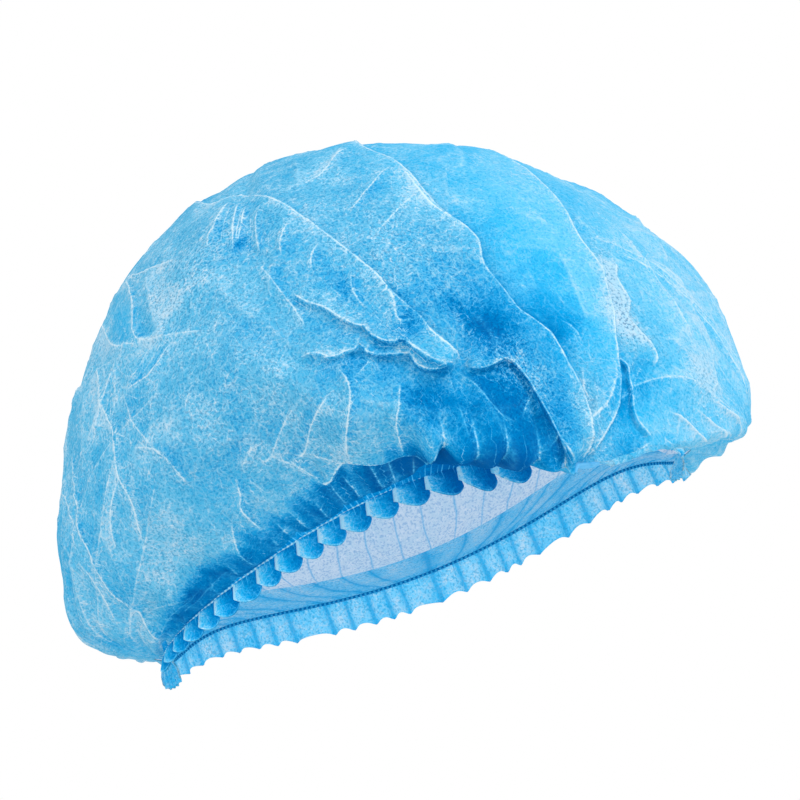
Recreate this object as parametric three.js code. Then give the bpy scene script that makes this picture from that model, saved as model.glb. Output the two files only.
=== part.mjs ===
// Disposable surgical cap: a pleated strip of nonwoven cloth, puffed into its worn shape.
// Millimetres, +Z towards the crown. The origin is the centre of the head opening. The strip's two
// gathered ends lie at -X and +X, the front edge of the opening faces -Y and the back edge faces +Y.
//
// A place on the cap is given by two angles in degrees about the opening's centre:
//   along  - 0 at the left gathered end, 180 at the right one
//   across - 0 at the front edge of the opening, 90 over the top, 180 at the back edge
import * as THREE from "three";

// Head opening, an oval between the two gathered ends. Each edge reaches out by depth and arches up
// by arch over the ends, more squarely where squareness is high. It leans up towards the right by tilt
// and sinks by dip in its middle. ruffle is how far the cloth hangs below the elastic, and across is
// the edge's place on the cap.
const OPENING_HALF_LENGTH = 107;
const FRONT_EDGE = { across: 0, depth: 64, arch: 14, squareness: 1.6, tilt: 3, dip: 0, ruffle: 8.5 };
const BACK_EDGE = { across: 180, depth: 57, arch: 16, squareness: 8, tilt: 0, dip: 6, ruffle: 12 };

// Puffed body. Its widest height rises by the slant for each millimetre towards the right end.
const BODY_LEFT = 134;
const BODY_RIGHT = 143;
const BODY_HALF_DEPTH = 113;
const BODY_TOP = 167;
const BODY_WIDEST_HEIGHT = 26;
const BODY_SLANT = 0.11;
const BODY_UNDERSIDE = 85;
const BODY_ROUNDNESS = 1.92;

// Cloth, and the clearance that keeps the pieces apart.
const WALL = 1.4;
const GAP = 0.4;

// How the body leaves the opening's edge, going round from the left end (0) by the front (90), the
// right end (180) and the back (270). rise is the angle above the opening at which the cloth is out
// at its full width, and sag is how far the puffed cloth hangs back down there.
const EDGE_ROWS = [
  { around: 0, rise: 12, sag: 9 },
  { around: 45, rise: 32, sag: 2 },
  { around: 68, rise: 34, sag: 0 },
  { around: 90, rise: 18, sag: 13 },
  { around: 107, rise: 12, sag: 31 },
  { around: 125, rise: 10, sag: 36 },
  { around: 150, rise: 9, sag: 32 },
  { around: 180, rise: 9, sag: 17 },
  { around: 235, rise: 22, sag: 6 },
  { around: 305, rise: 22, sag: 6 },
];

// The hang fades out over this many times the rise, and the edges' arch over this angle of elevation.
const HANG_FADE = 2.5;
const ARCH_FADE = 60;

// Pleats run aslant down the front: each keeps its own line, straight across the top and the back,
// and leans this far towards the right end by the time it reaches the front edge.
const PLEAT_LEAN = 46;
const LEAN_CURVE = 1.5;

// Lapped pleats. line is the place along the strip where the lip crosses the top. The cloth on the
// lip's left stands height above the cloth on its right and sinks back over reach, in millimetres.
// The lip runs between two across angles and dies away over the fade, in degrees, at both.
const PLEATS = [
  { name: "left_pleat", line: 40, height: 2.2, reach: 22, from: 30, to: 130 },
  { name: "brow_pleat", line: 78, height: 4, reach: 36, from: 6, to: 112 },
  { name: "crown_pleat", line: 97, height: 4, reach: 30, from: 2, to: 150 },
  { name: "side_pleat", line: 120, height: 4, reach: 30, from: 2, to: 165 },
  { name: "right_pleat", line: 142, height: 2.4, reach: 20, from: 12, to: 170 },
];
const PLEAT_DROP = 1.8;
const PLEAT_FADE = 14;

// Ruffled folds. Each lip follows its route of [along, across] places. Facing along the route, the
// raised cloth lies on the left (side 1) or on the right (side -1). It stands height above the cloth
// below and sinks back over reach, and the lip swings to and fro by swing at each pitch.
const FOLDS = [
  {
    name: "middle_ruffle", side: 1, height: 7, reach: 22, swing: 3, pitch: 18,
    route: [[80, 40], [90, 33], [97, 24], [107, 17]],
  },
  {
    name: "lower_ruffle", side: 1, height: 5, reach: 16, swing: 3, pitch: 20,
    route: [[66, 22], [80, 15], [94, 10], [106, 7]],
  },
  {
    name: "front_lobe", side: 1, height: 8, reach: 22, swing: 3, pitch: 24,
    route: [[100, 22], [112, 15], [122, 8], [134, 3]],
  },
  {
    name: "right_lip", side: 1, height: 4, reach: 14, swing: 2, pitch: 14,
    route: [[146, 24], [157, 15], [168, 7]],
  },
];
const LIP_DROP = 9;
const LIP_STEPS = 14;
const LIP_FADE = 16;

// Puckers drawn in by the elastic, all round the opening. They deepen up to the start height, and
// then die away over the reach.
const PUCKER_PITCH = 27;
const PUCKER_DEPTH = 2.4;
const PUCKER_START = 12;
const PUCKER_REACH = 30;

// Everything that lifts the cloth fades out within this angle of the two edges, and more slowly
// beside the gathered ends where the end hold is low.
const EDGE_HOLD = 6;
const END_HOLD = 3;

// Hem of each edge: a band inside the cap above the elastic, and a ruffle of box-like waves below it.
// Each row of the wall stands out level from the edge, goes up by a share of the band or down by a
// share of the ruffle, and swings by a share of the wave.
const HEM_BAND = 7.5;
const RUFFLE_WAVE = 2.6;
const RUFFLE_COUNT = 28;
const HEM_END = 4;
const HEM_TAPER = 1.5;
const RUFFLE_AT_ENDS = 0.45;
const HEM_ROWS = [
  { out: -1, band: 1, ruffle: 0, wave: 0 },
  { out: -0.5, band: 0.06, ruffle: 0, wave: 0 },
  { out: 0, band: 0, ruffle: 0.35, wave: 0.3 },
  { out: 2.5, band: 0, ruffle: 1, wave: 1 },
];

// Elastic, sewn along the outside of the hem.
const ELASTIC_DIAMETER = 1.6;
const ELASTIC_SIDES = 5;
const ELASTIC_POINTS = 40;
const ELASTIC_STEPS = 56;
const ELASTIC_END = 5;
const ELASTIC_OUT = 0.3;
const ELASTIC_BELOW_EDGE = 1.4;

// Gathered ends: each is a small fan of pleats that narrows to the weld and hangs as a short tail.
// side is -1 at the left end and 1 at the right one, and lean is how far the tail's tip reaches out.
const TAILS = [
  { name: "left_end_gather", side: -1, length: 9, lean: -1 },
  { name: "right_end_gather", side: 1, length: 6, lean: -4 },
];
const TAIL_TOP = -2.2;
const TAIL_SPREAD = 5.2;
const TAIL_PLEAT = 1.3;
const TAIL_PLEATS = 4;

// The tail's outline: half its breadth, as a share of the spread, at each share of its length down.
const TAIL_ROWS = [
  { down: 0, half: 0.8 },
  { down: 0.3, half: 0.42 },
  { down: 0.65, half: 0.8 },
  { down: 1, half: 1 },
];

// Mesh of the body: the widest step along the strip, the steps across it, and the lines that crowd
// towards each gathered end, in degrees from it.
const CROWN_STEP = 4.6;
const CROWN_ACROSS = 32;
const CROWN_END_LINES = [1.6, 3, 5, 7.5, 11, 15];

// Step, in degrees, over which the cloth's slope is measured.
const SLOPE_STEP = 0.4;

const { cos, sin, abs, hypot, exp, asin, atan2, PI } = Math;
const radians = THREE.MathUtils.degToRad;
const degrees = THREE.MathUtils.radToDeg;
const clamp = THREE.MathUtils.clamp;
const mix = THREE.MathUtils.lerp;
const ease = (t) => THREE.MathUtils.smoothstep(t, 0, 1);

// Unit direction from the opening's centre at a place on the cap.
function direction(along, across) {
  const a = radians(along);
  const b = radians(across);
  return new THREE.Vector3(-cos(a), -sin(a) * cos(b), sin(a) * sin(b));
}

// Distance from the opening's centre to the puffed body, found by halving.
function bodyRadius(d) {
  let low = 0;
  let high = 2 * BODY_TOP;
  for (let step = 0; step < 30; step += 1) {
    const r = (low + high) / 2;
    const x = (d.x * r) / (d.x < 0 ? BODY_LEFT : BODY_RIGHT);
    const y = (d.y * r) / BODY_HALF_DEPTH;
    const widest = BODY_WIDEST_HEIGHT + BODY_SLANT * d.x * r;
    const up = d.z * r - widest;
    const z = up / (up > 0 ? BODY_TOP - widest : BODY_UNDERSIDE);
    const inside = abs(x) ** BODY_ROUNDNESS + abs(y) ** BODY_ROUNDNESS + abs(z) ** BODY_ROUNDNESS < 1;
    low = inside ? r : low;
    high = inside ? high : r;
  }
  return low;
}

// rise and sag at an angle round the opening, eased from row to row.
function edgeAt(around) {
  const count = EDGE_ROWS.length;
  let index = count - 1;
  while (index > 0 && EDGE_ROWS[index].around > around) index -= 1;
  const from = EDGE_ROWS[index];
  const to = EDGE_ROWS[(index + 1) % count];
  const span = (to.around - from.around + 360) % 360;
  const t = ease((around - from.around) / span);
  return { rise: radians(mix(from.rise, to.rise, t)), sag: mix(from.sag, to.sag, t) };
}

// The puffed form without its folds: the oval edge blends out to the body over the angle rise, and
// the cloth above the edge sags by sag where it is out at its full width.
function puffedPoint(along, across) {
  const d = direction(along, across);
  const level = hypot(d.x, d.y);
  const elevation = asin(clamp(d.z, -1, 1));
  const around = (degrees(atan2(-d.y, -d.x)) + 360) % 360;
  const { rise, sag } = edgeAt(around);
  const flat = Math.max(level, 1e-6);
  const { depth, arch, squareness, tilt, dip } = d.y < 0 ? FRONT_EDGE : BACK_EDGE;
  const edge = 1 / hypot(d.x / flat / OPENING_HALF_LENGTH, d.y / flat / depth);
  const out = elevation / rise;
  const point = d.multiplyScalar(mix(edge, bodyRadius(d), sin((PI / 2) * clamp(out, 0, 1))));
  const place = clamp(point.x / OPENING_HALF_LENGTH, -1, 1);
  const middle = 1 - place ** 2;
  const lift = arch * (1 - abs(place) ** squareness) + tilt * place * middle - dip * middle ** 2;
  const hang = out < 1 ? ease(out) : 1 - ease((out - 1) / HANG_FADE);
  point.z += lift * (1 - ease(elevation / radians(ARCH_FADE))) - sag * hang;
  return point;
}

// Each fold's lip as points on the puffed form, with the distance run at each.
function lipOf(fold) {
  const places = fold.route.map(([along, across]) => new THREE.Vector3(along, across, 0));
  const curve = new THREE.CatmullRomCurve3(places);
  const chart = Array.from({ length: LIP_STEPS + 1 }, (_, i) => curve.getPoint(i / LIP_STEPS));
  const points = chart.map((place) => puffedPoint(place.x, place.y));
  const run = [0];
  points.slice(1).forEach((point, i) => run.push(run[i] + point.distanceTo(points[i])));
  return { ...fold, chart, points, run, length: run[LIP_STEPS] };
}

const LIPS = FOLDS.map(lipOf);

// Nearest point of a lip: the distance to it, negative off the raised side, and the distance run.
function nearLip(lip, along, across, point) {
  let best = { distance: Infinity, run: 0, sign: 1 };
  for (let i = 0; i < LIP_STEPS; i += 1) {
    const from = lip.points[i];
    const step = lip.points[i + 1].clone().sub(from);
    const t = clamp(point.clone().sub(from).dot(step) / step.lengthSq(), 0, 1);
    const distance = from.clone().addScaledVector(step, t).distanceTo(point);
    if (distance < best.distance) {
      const a = lip.chart[i];
      const b = lip.chart[i + 1];
      const turn = (b.x - a.x) * (across - a.y) - (b.y - a.y) * (along - a.x);
      best = { distance, run: mix(lip.run[i], lip.run[i + 1], t), sign: turn < 0 ? -1 : 1 };
    }
  }
  return { offset: best.distance * best.sign * lip.side, run: best.run };
}

// How far the folds lift the cloth at a place.
function foldHeight(along, across, point) {
  let height = 0;
  for (const lip of LIPS) {
    const { offset, run } = nearLip(lip, along, across, point);
    const inward = offset + lip.swing * cos((2 * PI * run) / lip.pitch);
    const lap = inward > 0 ? exp(-inward / lip.reach) : 1 - ease(-inward / LIP_DROP);
    const ends = ease(run / LIP_FADE) * ease((lip.length - run) / LIP_FADE);
    height += lip.height * lap * ends;
  }
  return height;
}

// Distance run along the front edge from the left end, measured in small steps once. It paces the
// puckers and the ruffles of both edges.
const EDGE_STEPS = 180;
const EDGE_RUN = [0];
for (let i = 0; i < EDGE_STEPS; i += 1) {
  const from = puffedPoint((180 * i) / EDGE_STEPS, FRONT_EDGE.across);
  const to = puffedPoint((180 * (i + 1)) / EDGE_STEPS, FRONT_EDGE.across);
  EDGE_RUN.push(EDGE_RUN[i] + from.distanceTo(to));
}
function edgeRun(along) {
  const place = clamp((along * EDGE_STEPS) / 180, 0, EDGE_STEPS - 1e-6);
  const index = Math.floor(place);
  return mix(EDGE_RUN[index], EDGE_RUN[index + 1], place - index);
}

// Outward normal of the puffed form, from a small step each way.
function puffedNormal(along, across) {
  const alongStep = puffedPoint(along + SLOPE_STEP, across).sub(puffedPoint(along - SLOPE_STEP, across));
  const low = Math.max(across - SLOPE_STEP, 0);
  const high = Math.min(across + SLOPE_STEP, 180);
  return alongStep.cross(puffedPoint(along, high).sub(puffedPoint(along, low))).normalize();
}

// Where a pleat's line lies at a place across the cap.
function leaning(line, across) {
  return line + PLEAT_LEAN * sin(radians(line)) ** 2 * clamp(1 - across / 90, 0, 1) ** LEAN_CURVE;
}

// How far the lapped pleats lift the cloth at a place on the net of pleat lines.
function pleatHeight(line, across) {
  let height = 0;
  for (const pleat of PLEATS) {
    const before = radians(pleat.line - line) * OPENING_HALF_LENGTH;
    const lap = before > 0 ? exp(-before / pleat.reach) : 1 - ease(-before / (2 * PLEAT_DROP));
    const ends = ease((across - pleat.from) / PLEAT_FADE) * ease((pleat.to - across) / PLEAT_FADE);
    height += pleat.height * lap * ends;
  }
  return height;
}

// A point of the cap on the net of pleat lines, depth below the outer face: the puffed form, lifted
// along its normal by pleats, folds and puckers.
function crownPoint(line, across, depth) {
  const along = leaning(line, across);
  const point = puffedPoint(along, across);
  const above = Math.max(point.z, 0);
  const fade = exp(-above / PUCKER_REACH) * ease(above / PUCKER_START);
  const pucker = PUCKER_DEPTH * cos((2 * PI * edgeRun(along)) / PUCKER_PITCH) * fade;
  const folds = pleatHeight(line, across) + foldHeight(along, across, point) + pucker;
  const held = ease(Math.min(across, 180 - across) / EDGE_HOLD) * ease(sin(radians(along)) * END_HOLD);
  return point.addScaledVector(puffedNormal(along, across), folds * held - depth);
}

// A closed wall between two grids of points, both [row][column], where the outer one faces out.
function wallBetween(outer, inner) {
  const rows = outer.length;
  const columns = outer[0].length;
  const positions = [...outer.flat(), ...inner.flat()].flatMap((point) => point.toArray());
  const front = (i, j) => i * columns + j;
  const back = (i, j) => rows * columns + front(i, j);
  const index = [];
  const quad = (a, b, c, d) => index.push(a, b, c, a, c, d);
  for (let i = 0; i + 1 < rows; i += 1) {
    for (let j = 0; j + 1 < columns; j += 1) {
      quad(front(i, j), front(i + 1, j), front(i + 1, j + 1), front(i, j + 1));
      quad(back(i, j), back(i, j + 1), back(i + 1, j + 1), back(i + 1, j));
    }
    quad(front(i, 0), back(i, 0), back(i + 1, 0), front(i + 1, 0));
    quad(front(i, columns - 1), front(i + 1, columns - 1), back(i + 1, columns - 1), back(i, columns - 1));
  }
  for (let j = 0; j + 1 < columns; j += 1) {
    quad(front(0, j), front(0, j + 1), back(0, j + 1), back(0, j));
    quad(front(rows - 1, j), back(rows - 1, j), back(rows - 1, j + 1), front(rows - 1, j + 1));
  }
  const geometry = new THREE.BufferGeometry();
  geometry.setAttribute("position", new THREE.Float32BufferAttribute(positions, 3));
  geometry.setIndex(index);
  geometry.computeVertexNormals();
  return geometry;
}

// Lines of the body's mesh: one on each side of every lip, evenly filled between, and crowded
// towards the two gathered ends, where the cloth turns most.
function crownLines() {
  const drop = degrees((2 * PLEAT_DROP) / OPENING_HALF_LENGTH);
  const lips = PLEATS.flatMap(({ line }) => [line, line + drop]);
  const stops = [...CROWN_END_LINES, ...lips, ...CROWN_END_LINES.map((end) => 180 - end).reverse()];
  return stops.flatMap((stop, i) => {
    if (i + 1 === stops.length) return [stop];
    const parts = Math.ceil((stops[i + 1] - stop) / CROWN_STEP);
    return Array.from({ length: parts }, (_, part) => mix(stop, stops[i + 1], part / parts));
  });
}

function crownGeometry() {
  const lines = crownLines();
  const face = (depth) => lines.map((line) =>
    Array.from({ length: CROWN_ACROSS + 1 }, (_, j) => crownPoint(line, (180 * j) / CROWN_ACROSS, depth)));
  return wallBetween(face(0), face(WALL));
}

// Level direction that points out of the opening across one of its edges.
function edgeOutward(along, edge) {
  const point = puffedPoint(along, edge.across);
  return new THREE.Vector3(point.x / OPENING_HALF_LENGTH ** 2, point.y / edge.depth ** 2, 0).normalize();
}

function hemGeometry(edge) {
  const face = (depth) => HEM_ROWS.map((row) =>
    Array.from({ length: 4 * RUFFLE_COUNT + 1 }, (_, j) => {
      const along = mix(HEM_END, 180 - HEM_END, j / (4 * RUFFLE_COUNT));
      const taper = ease(HEM_TAPER * sin(radians(along)));
      const box = cos((2 * PI * RUFFLE_COUNT * edgeRun(along)) / edgeRun(180)) > 0 ? 1 : -1;
      const out = row.out + box * row.wave * RUFFLE_WAVE - WALL - GAP - depth;
      const point = puffedPoint(along, edge.across).addScaledVector(edgeOutward(along, edge), out);
      point.z += row.band * HEM_BAND * taper - row.ruffle * edge.ruffle * mix(RUFFLE_AT_ENDS, 1, taper);
      return point;
    }));
  return edge === FRONT_EDGE ? wallBetween(face(0), face(WALL)) : wallBetween(face(WALL), face(0));
}

// Elastic of one edge: a round cord just below the body's edge, outside the hem.
function elasticGeometry(edge) {
  const points = Array.from({ length: ELASTIC_POINTS + 1 }, (_, i) => {
    const along = mix(ELASTIC_END, 180 - ELASTIC_END, i / ELASTIC_POINTS);
    const point = puffedPoint(along, edge.across).addScaledVector(edgeOutward(along, edge), ELASTIC_OUT);
    point.z -= ELASTIC_BELOW_EDGE;
    return point;
  });
  const section = new THREE.Shape();
  for (let i = 0; i < ELASTIC_SIDES; i += 1) {
    const turn = (2 * PI * i) / ELASTIC_SIDES;
    const [x, y] = [(ELASTIC_DIAMETER / 2) * cos(turn), (ELASTIC_DIAMETER / 2) * sin(turn)];
    if (i === 0) section.moveTo(x, y);
    else section.lineTo(x, y);
  }
  section.closePath();
  const extrudePath = new THREE.CatmullRomCurve3(points);
  return new THREE.ExtrudeGeometry(section, { steps: ELASTIC_STEPS, extrudePath });
}

// Gathered end: zigzag pleats, narrow at the weld and spread at both ends of the tail.
function endGatherGeometry({ side, length, lean }) {
  const columns = TAIL_PLEATS * 2;
  const face = (depth) => TAIL_ROWS.map(({ down, half }) =>
    Array.from({ length: columns + 1 }, (_, j) => {
      const fold = (j % 2 ? 1 : -1) * TAIL_PLEAT * half;
      const x = side * (OPENING_HALF_LENGTH + lean * down) + fold - depth;
      return new THREE.Vector3(x, half * TAIL_SPREAD * ((2 * j) / columns - 1), TAIL_TOP - length * down);
    }));
  return wallBetween(face(0), face(WALL));
}

function cloth(name, geometry, color) {
  const material = new THREE.MeshStandardMaterial({ color, roughness: 0.85, metalness: 0 });
  const mesh = new THREE.Mesh(geometry, material);
  mesh.name = name;
  return mesh;
}

const cap = new THREE.Group();
cap.add(
  cloth("crown", crownGeometry(), 0x5fb8ea),
  cloth("front_hem", hemGeometry(FRONT_EDGE), 0x4aa6e2),
  cloth("back_hem", hemGeometry(BACK_EDGE), 0x4aa6e2),
  cloth("front_elastic", elasticGeometry(FRONT_EDGE), 0x9fd4f4),
  cloth("back_elastic", elasticGeometry(BACK_EDGE), 0x9fd4f4),
  ...TAILS.map((tail) => cloth(tail.name, endGatherGeometry(tail), 0x3f9fe0)),
);

export default cap;
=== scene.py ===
import math
from itertools import zip_longest

import bpy
import numpy as np
from mathutils import Matrix, Vector


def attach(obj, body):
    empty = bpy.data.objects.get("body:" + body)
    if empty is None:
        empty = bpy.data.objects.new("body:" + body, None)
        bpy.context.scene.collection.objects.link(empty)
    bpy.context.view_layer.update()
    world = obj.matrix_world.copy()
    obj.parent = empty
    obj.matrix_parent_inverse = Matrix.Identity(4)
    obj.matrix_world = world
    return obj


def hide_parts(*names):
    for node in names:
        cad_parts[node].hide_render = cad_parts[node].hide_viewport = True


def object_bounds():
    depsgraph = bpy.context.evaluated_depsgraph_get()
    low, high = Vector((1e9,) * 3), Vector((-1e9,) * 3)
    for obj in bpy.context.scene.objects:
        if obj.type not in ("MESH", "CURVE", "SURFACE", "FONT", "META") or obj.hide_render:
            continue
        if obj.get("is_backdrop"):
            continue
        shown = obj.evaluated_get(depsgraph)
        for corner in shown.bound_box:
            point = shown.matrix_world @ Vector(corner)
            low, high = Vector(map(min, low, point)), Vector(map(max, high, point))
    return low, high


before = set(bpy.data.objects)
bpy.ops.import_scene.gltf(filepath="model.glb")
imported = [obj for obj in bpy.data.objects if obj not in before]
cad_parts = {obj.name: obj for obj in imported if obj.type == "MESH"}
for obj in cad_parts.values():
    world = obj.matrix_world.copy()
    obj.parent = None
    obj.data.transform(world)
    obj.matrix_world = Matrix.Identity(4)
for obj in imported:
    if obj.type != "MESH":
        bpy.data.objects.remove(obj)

CAD_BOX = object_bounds()

bl_info = {
    "name": "Disposable Surgical Cap",
    "version": (1, 0, 0),
    "blender": (4, 5, 0),
    "location": "View3D > Sidebar > Cap",
    "description": "Dresses the solids of a pleated nonwoven surgical cap in cloth, elastic and creases",
    "category": "Object",
}

# The cap's shape is worked out in millimetres. A place on it is given by two angles in degrees about
# the opening's centre: along, 0 at the left gathered end and 180 at the right one, and across, 0 at the
# front edge of the opening, 90 over the top and 180 at the back edge.
MM = 0.001
# The distance given where no bright line is near.
FAR = 60.0


def table(columns, *rows):
    """Rows of values keyed by the names in columns. Values left out at the end of a row are 0."""
    return tuple(dict(zip_longest(columns.split(), row, fillvalue=0)) for row in rows)


# Head opening and puffed body, close to the part's source.
OPENING_HALF_LENGTH = 107.0
FRONT_EDGE = {"across": 0.0, "depth": 64.0, "arch": 14.0, "squareness": 1.6, "tilt": 3.0, "dip": 0.0}
BACK_EDGE = {"across": 180.0, "depth": 57.0, "arch": 16.0, "squareness": 8.0, "tilt": 0.0, "dip": 8.0}
BODY_LEFT = 134.0
BODY_RIGHT = 143.0
BODY_HALF_DEPTH = 113.0
BODY_TOP = 167.0
BODY_WIDEST_HEIGHT = 26.0
BODY_SLANT = 0.11
BODY_UNDERSIDE = 85.0
BODY_ROUNDNESS = 1.92
HANG_FADE = 2.5
ARCH_FADE = 60.0

# How the body leaves the opening's edge, going round from the left end (0) by the front (90), the
# right end (180) and the back (270): the angle in which it is out at its full width, and its sag.
EDGE_ROWS = table(
    "around rise sag",
    (0, 12, 5),
    (45, 32, 2),
    (68, 34, 0),
    (90, 18, 13),
    (107, 12, 31),
    (125, 10, 43),
    (150, 9, 31),
    (166, 9, 26),
    (180, 9, 14),
    (235, 22, 6),
    (305, 22, 6),
)

# Lines of the crown's net run across the cap and lean to the right down the front.
PLEAT_LEAN = 46.0
LEAN_CURVE = 1.5

# Panels of the crown, from line to line of the net, with the columns of each one's mesh. deep is how
# blue the panel is, and grain how strongly its fibres show.
PANELS = table(
    "name start end columns deep grain",
    ("crown_left_panel", 1.4, 40.0, 92, 0.3, 0.75),
    ("crown_brow_panel", 40.0, 79.0, 92, 0.28, 1.0),
    ("crown_middle_panel", 79.0, 98.0, 58, 0.31, 1.0),
    ("crown_top_panel", 98.0, 121.0, 66, 0.29, 0.45),
    ("crown_side_panel", 121.0, 143.0, 60, 0.25, 0.45),
    ("crown_right_panel", 143.0, 178.6, 86, 0.23, 0.4),
)
# Where the crown stands out further than the puffed form, or less far.
BULGES = table(
    "name along across long wide out turn",
    ("left_shoulder", 74, 84, 24, 60, 3.2),
    ("left_side", 28, 80, 20, 50, 3.4),
    ("right_shoulder", 137, 80, 14, 50, -1.8),
    ("right_side", 157, 80, 6, 40, 3.0),
    ("right_end", 170, 84, 8, 50, -2.6),
)
CROWN_ROWS = 400
RIM_SHARE = 1.6
RIM_ZONE = 32.0

# Lips of the lapped pleats and of the ruffled folds. Facing along the route, the raised cloth lies on
# the left (side 1) or the right (side -1). It stands height above the cloth below and sinks back over
# reach, and over is how far the lip laps over the low side; height and over are given at the route's two
# ends. Over a run of fade at each end the lip dies out. glow is how bright the painted highlight on its
# edge is, shade how deep a blue, painted shade with the fold's extra layers, lies under it and pale how much
# painted light pales the lip itself.
LIPS = table(
    "name side height reach over fade glow shade pale route",
    ("left_pleat", 1, (1.6, 1.0), 20, (0.8, 0.3), 22, 0.35, 0.05, 0.06, ((57, 55), (52, 66), (44, 80),
     (41, 92), (40, 110), (40, 126))),
    ("brow_pleat", 1, (3.0, 0.8), 22, (2.4, 0.1), 6, 0.9, 0.12, 0.08, ((108, 24), (106, 26), (104, 28),
     (103, 30), (100, 35), (99, 38), (97, 42), (94, 48), (91, 54), (89, 59), (87, 64), (85, 67), (83, 70),
     (82, 70), (80, 74), (79, 82), (78, 94), (78, 108))),
    ("crown_pleat", 1, (3.2, 0.7), 22, (2.2, 0.1), 5, 0.85, 0.12, 0.08, ((123, 13), (124, 17), (125, 20),
     (125, 23), (124, 26), (123, 28), (121, 29), (119, 30), (118, 32), (116, 36), (116, 41), (112, 48),
     (110, 53), (107, 62), (103, 70), (101, 78), (99, 92), (98, 120), (97, 146))),
    ("side_pleat", 1, (2.8, 0.7), 22, (1.8, 0.1), 5, 0.8, 0.1, 0.08, ((124, 14), (126, 16), (128, 18),
     (131, 21), (133, 26), (134, 30), (135, 34), (135, 40), (133, 45), (131, 53), (128, 61), (125, 69),
     (121, 77), (120, 92), (120, 125), (120, 160))),
    ("right_pleat", 1, (1.2, 0.8), 18, (0.4, 0.2), 16, 0.25, 0.03, 0.05, ((151, 28), (153, 34), (153, 44),
     (149, 60), (145, 78), (142, 96), (142, 130), (142, 166))),
    ("middle_ruffle", 1, (1.4, 4.4), 9, (0.6, 2.6), 5, 1.0, 0.18, 0.12, ((86, 42), (88, 39), (90, 37),
     (92, 34), (94, 32), (95, 32), (96, 30), (98, 29), (100, 29), (102, 27), (104, 25), (107, 24))),
    ("lower_ruffle", 1, (1.2, 3.8), 8, (0.6, 2.4), 5, 0.9, 0.14, 0.1, ((83, 30), (86, 30), (88, 28),
     (90, 28), (92, 28), (93, 29), (94, 27), (97, 27), (100, 27), (101, 25), (103, 24), (106, 24))),
    ("hanging_tier", 1, (1.6, 3.6), 10, (0.8, 2.6), 6, 0.85, 0.22, 0.1, ((73, 10), (74, 8), (78, 9),
     (82, 10), (86, 9), (90, 8), (94, 8), (98, 8), (99, 10), (101, 14))),
    ("front_lobe", 1, (2.4, 3.8), 12, (1.6, 2.2), 4, 0.85, 0.16, 0.08, ((108, 24), (111, 24), (114, 25),
     (116, 25), (118, 23), (119, 20), (120, 17), (122, 13))),
    ("side_tuck", -1, (1.6, 2.0), 8, (0.8, 1.2), 4, 0.7, 0.08, 0.12, ((139, 45), (138, 41), (139, 37),
     (138, 34), (141, 31), (141, 28))),
    ("side_lobe", 1, (2.2, 1.6), 10, (1.2, 0.8), 5, 0.75, 0.1, 0.08, ((134, 28), (136, 27), (136, 24),
     (136, 20), (139, 16))),
)
LIP_MARGIN = 3.2
LIP_DROP = 3.4
LIP_TUCK = 1.2
LIP_TUCK_HEIGHT = 3.0
LIP_OVER_REACH = 4.5
LIP_FOOT_REACH = 5.0
LIP_LINE_INWARD = 0.2
LIP_PALE_REACH = 5.0
LIP_SHADE_REACH = 9.0
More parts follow.
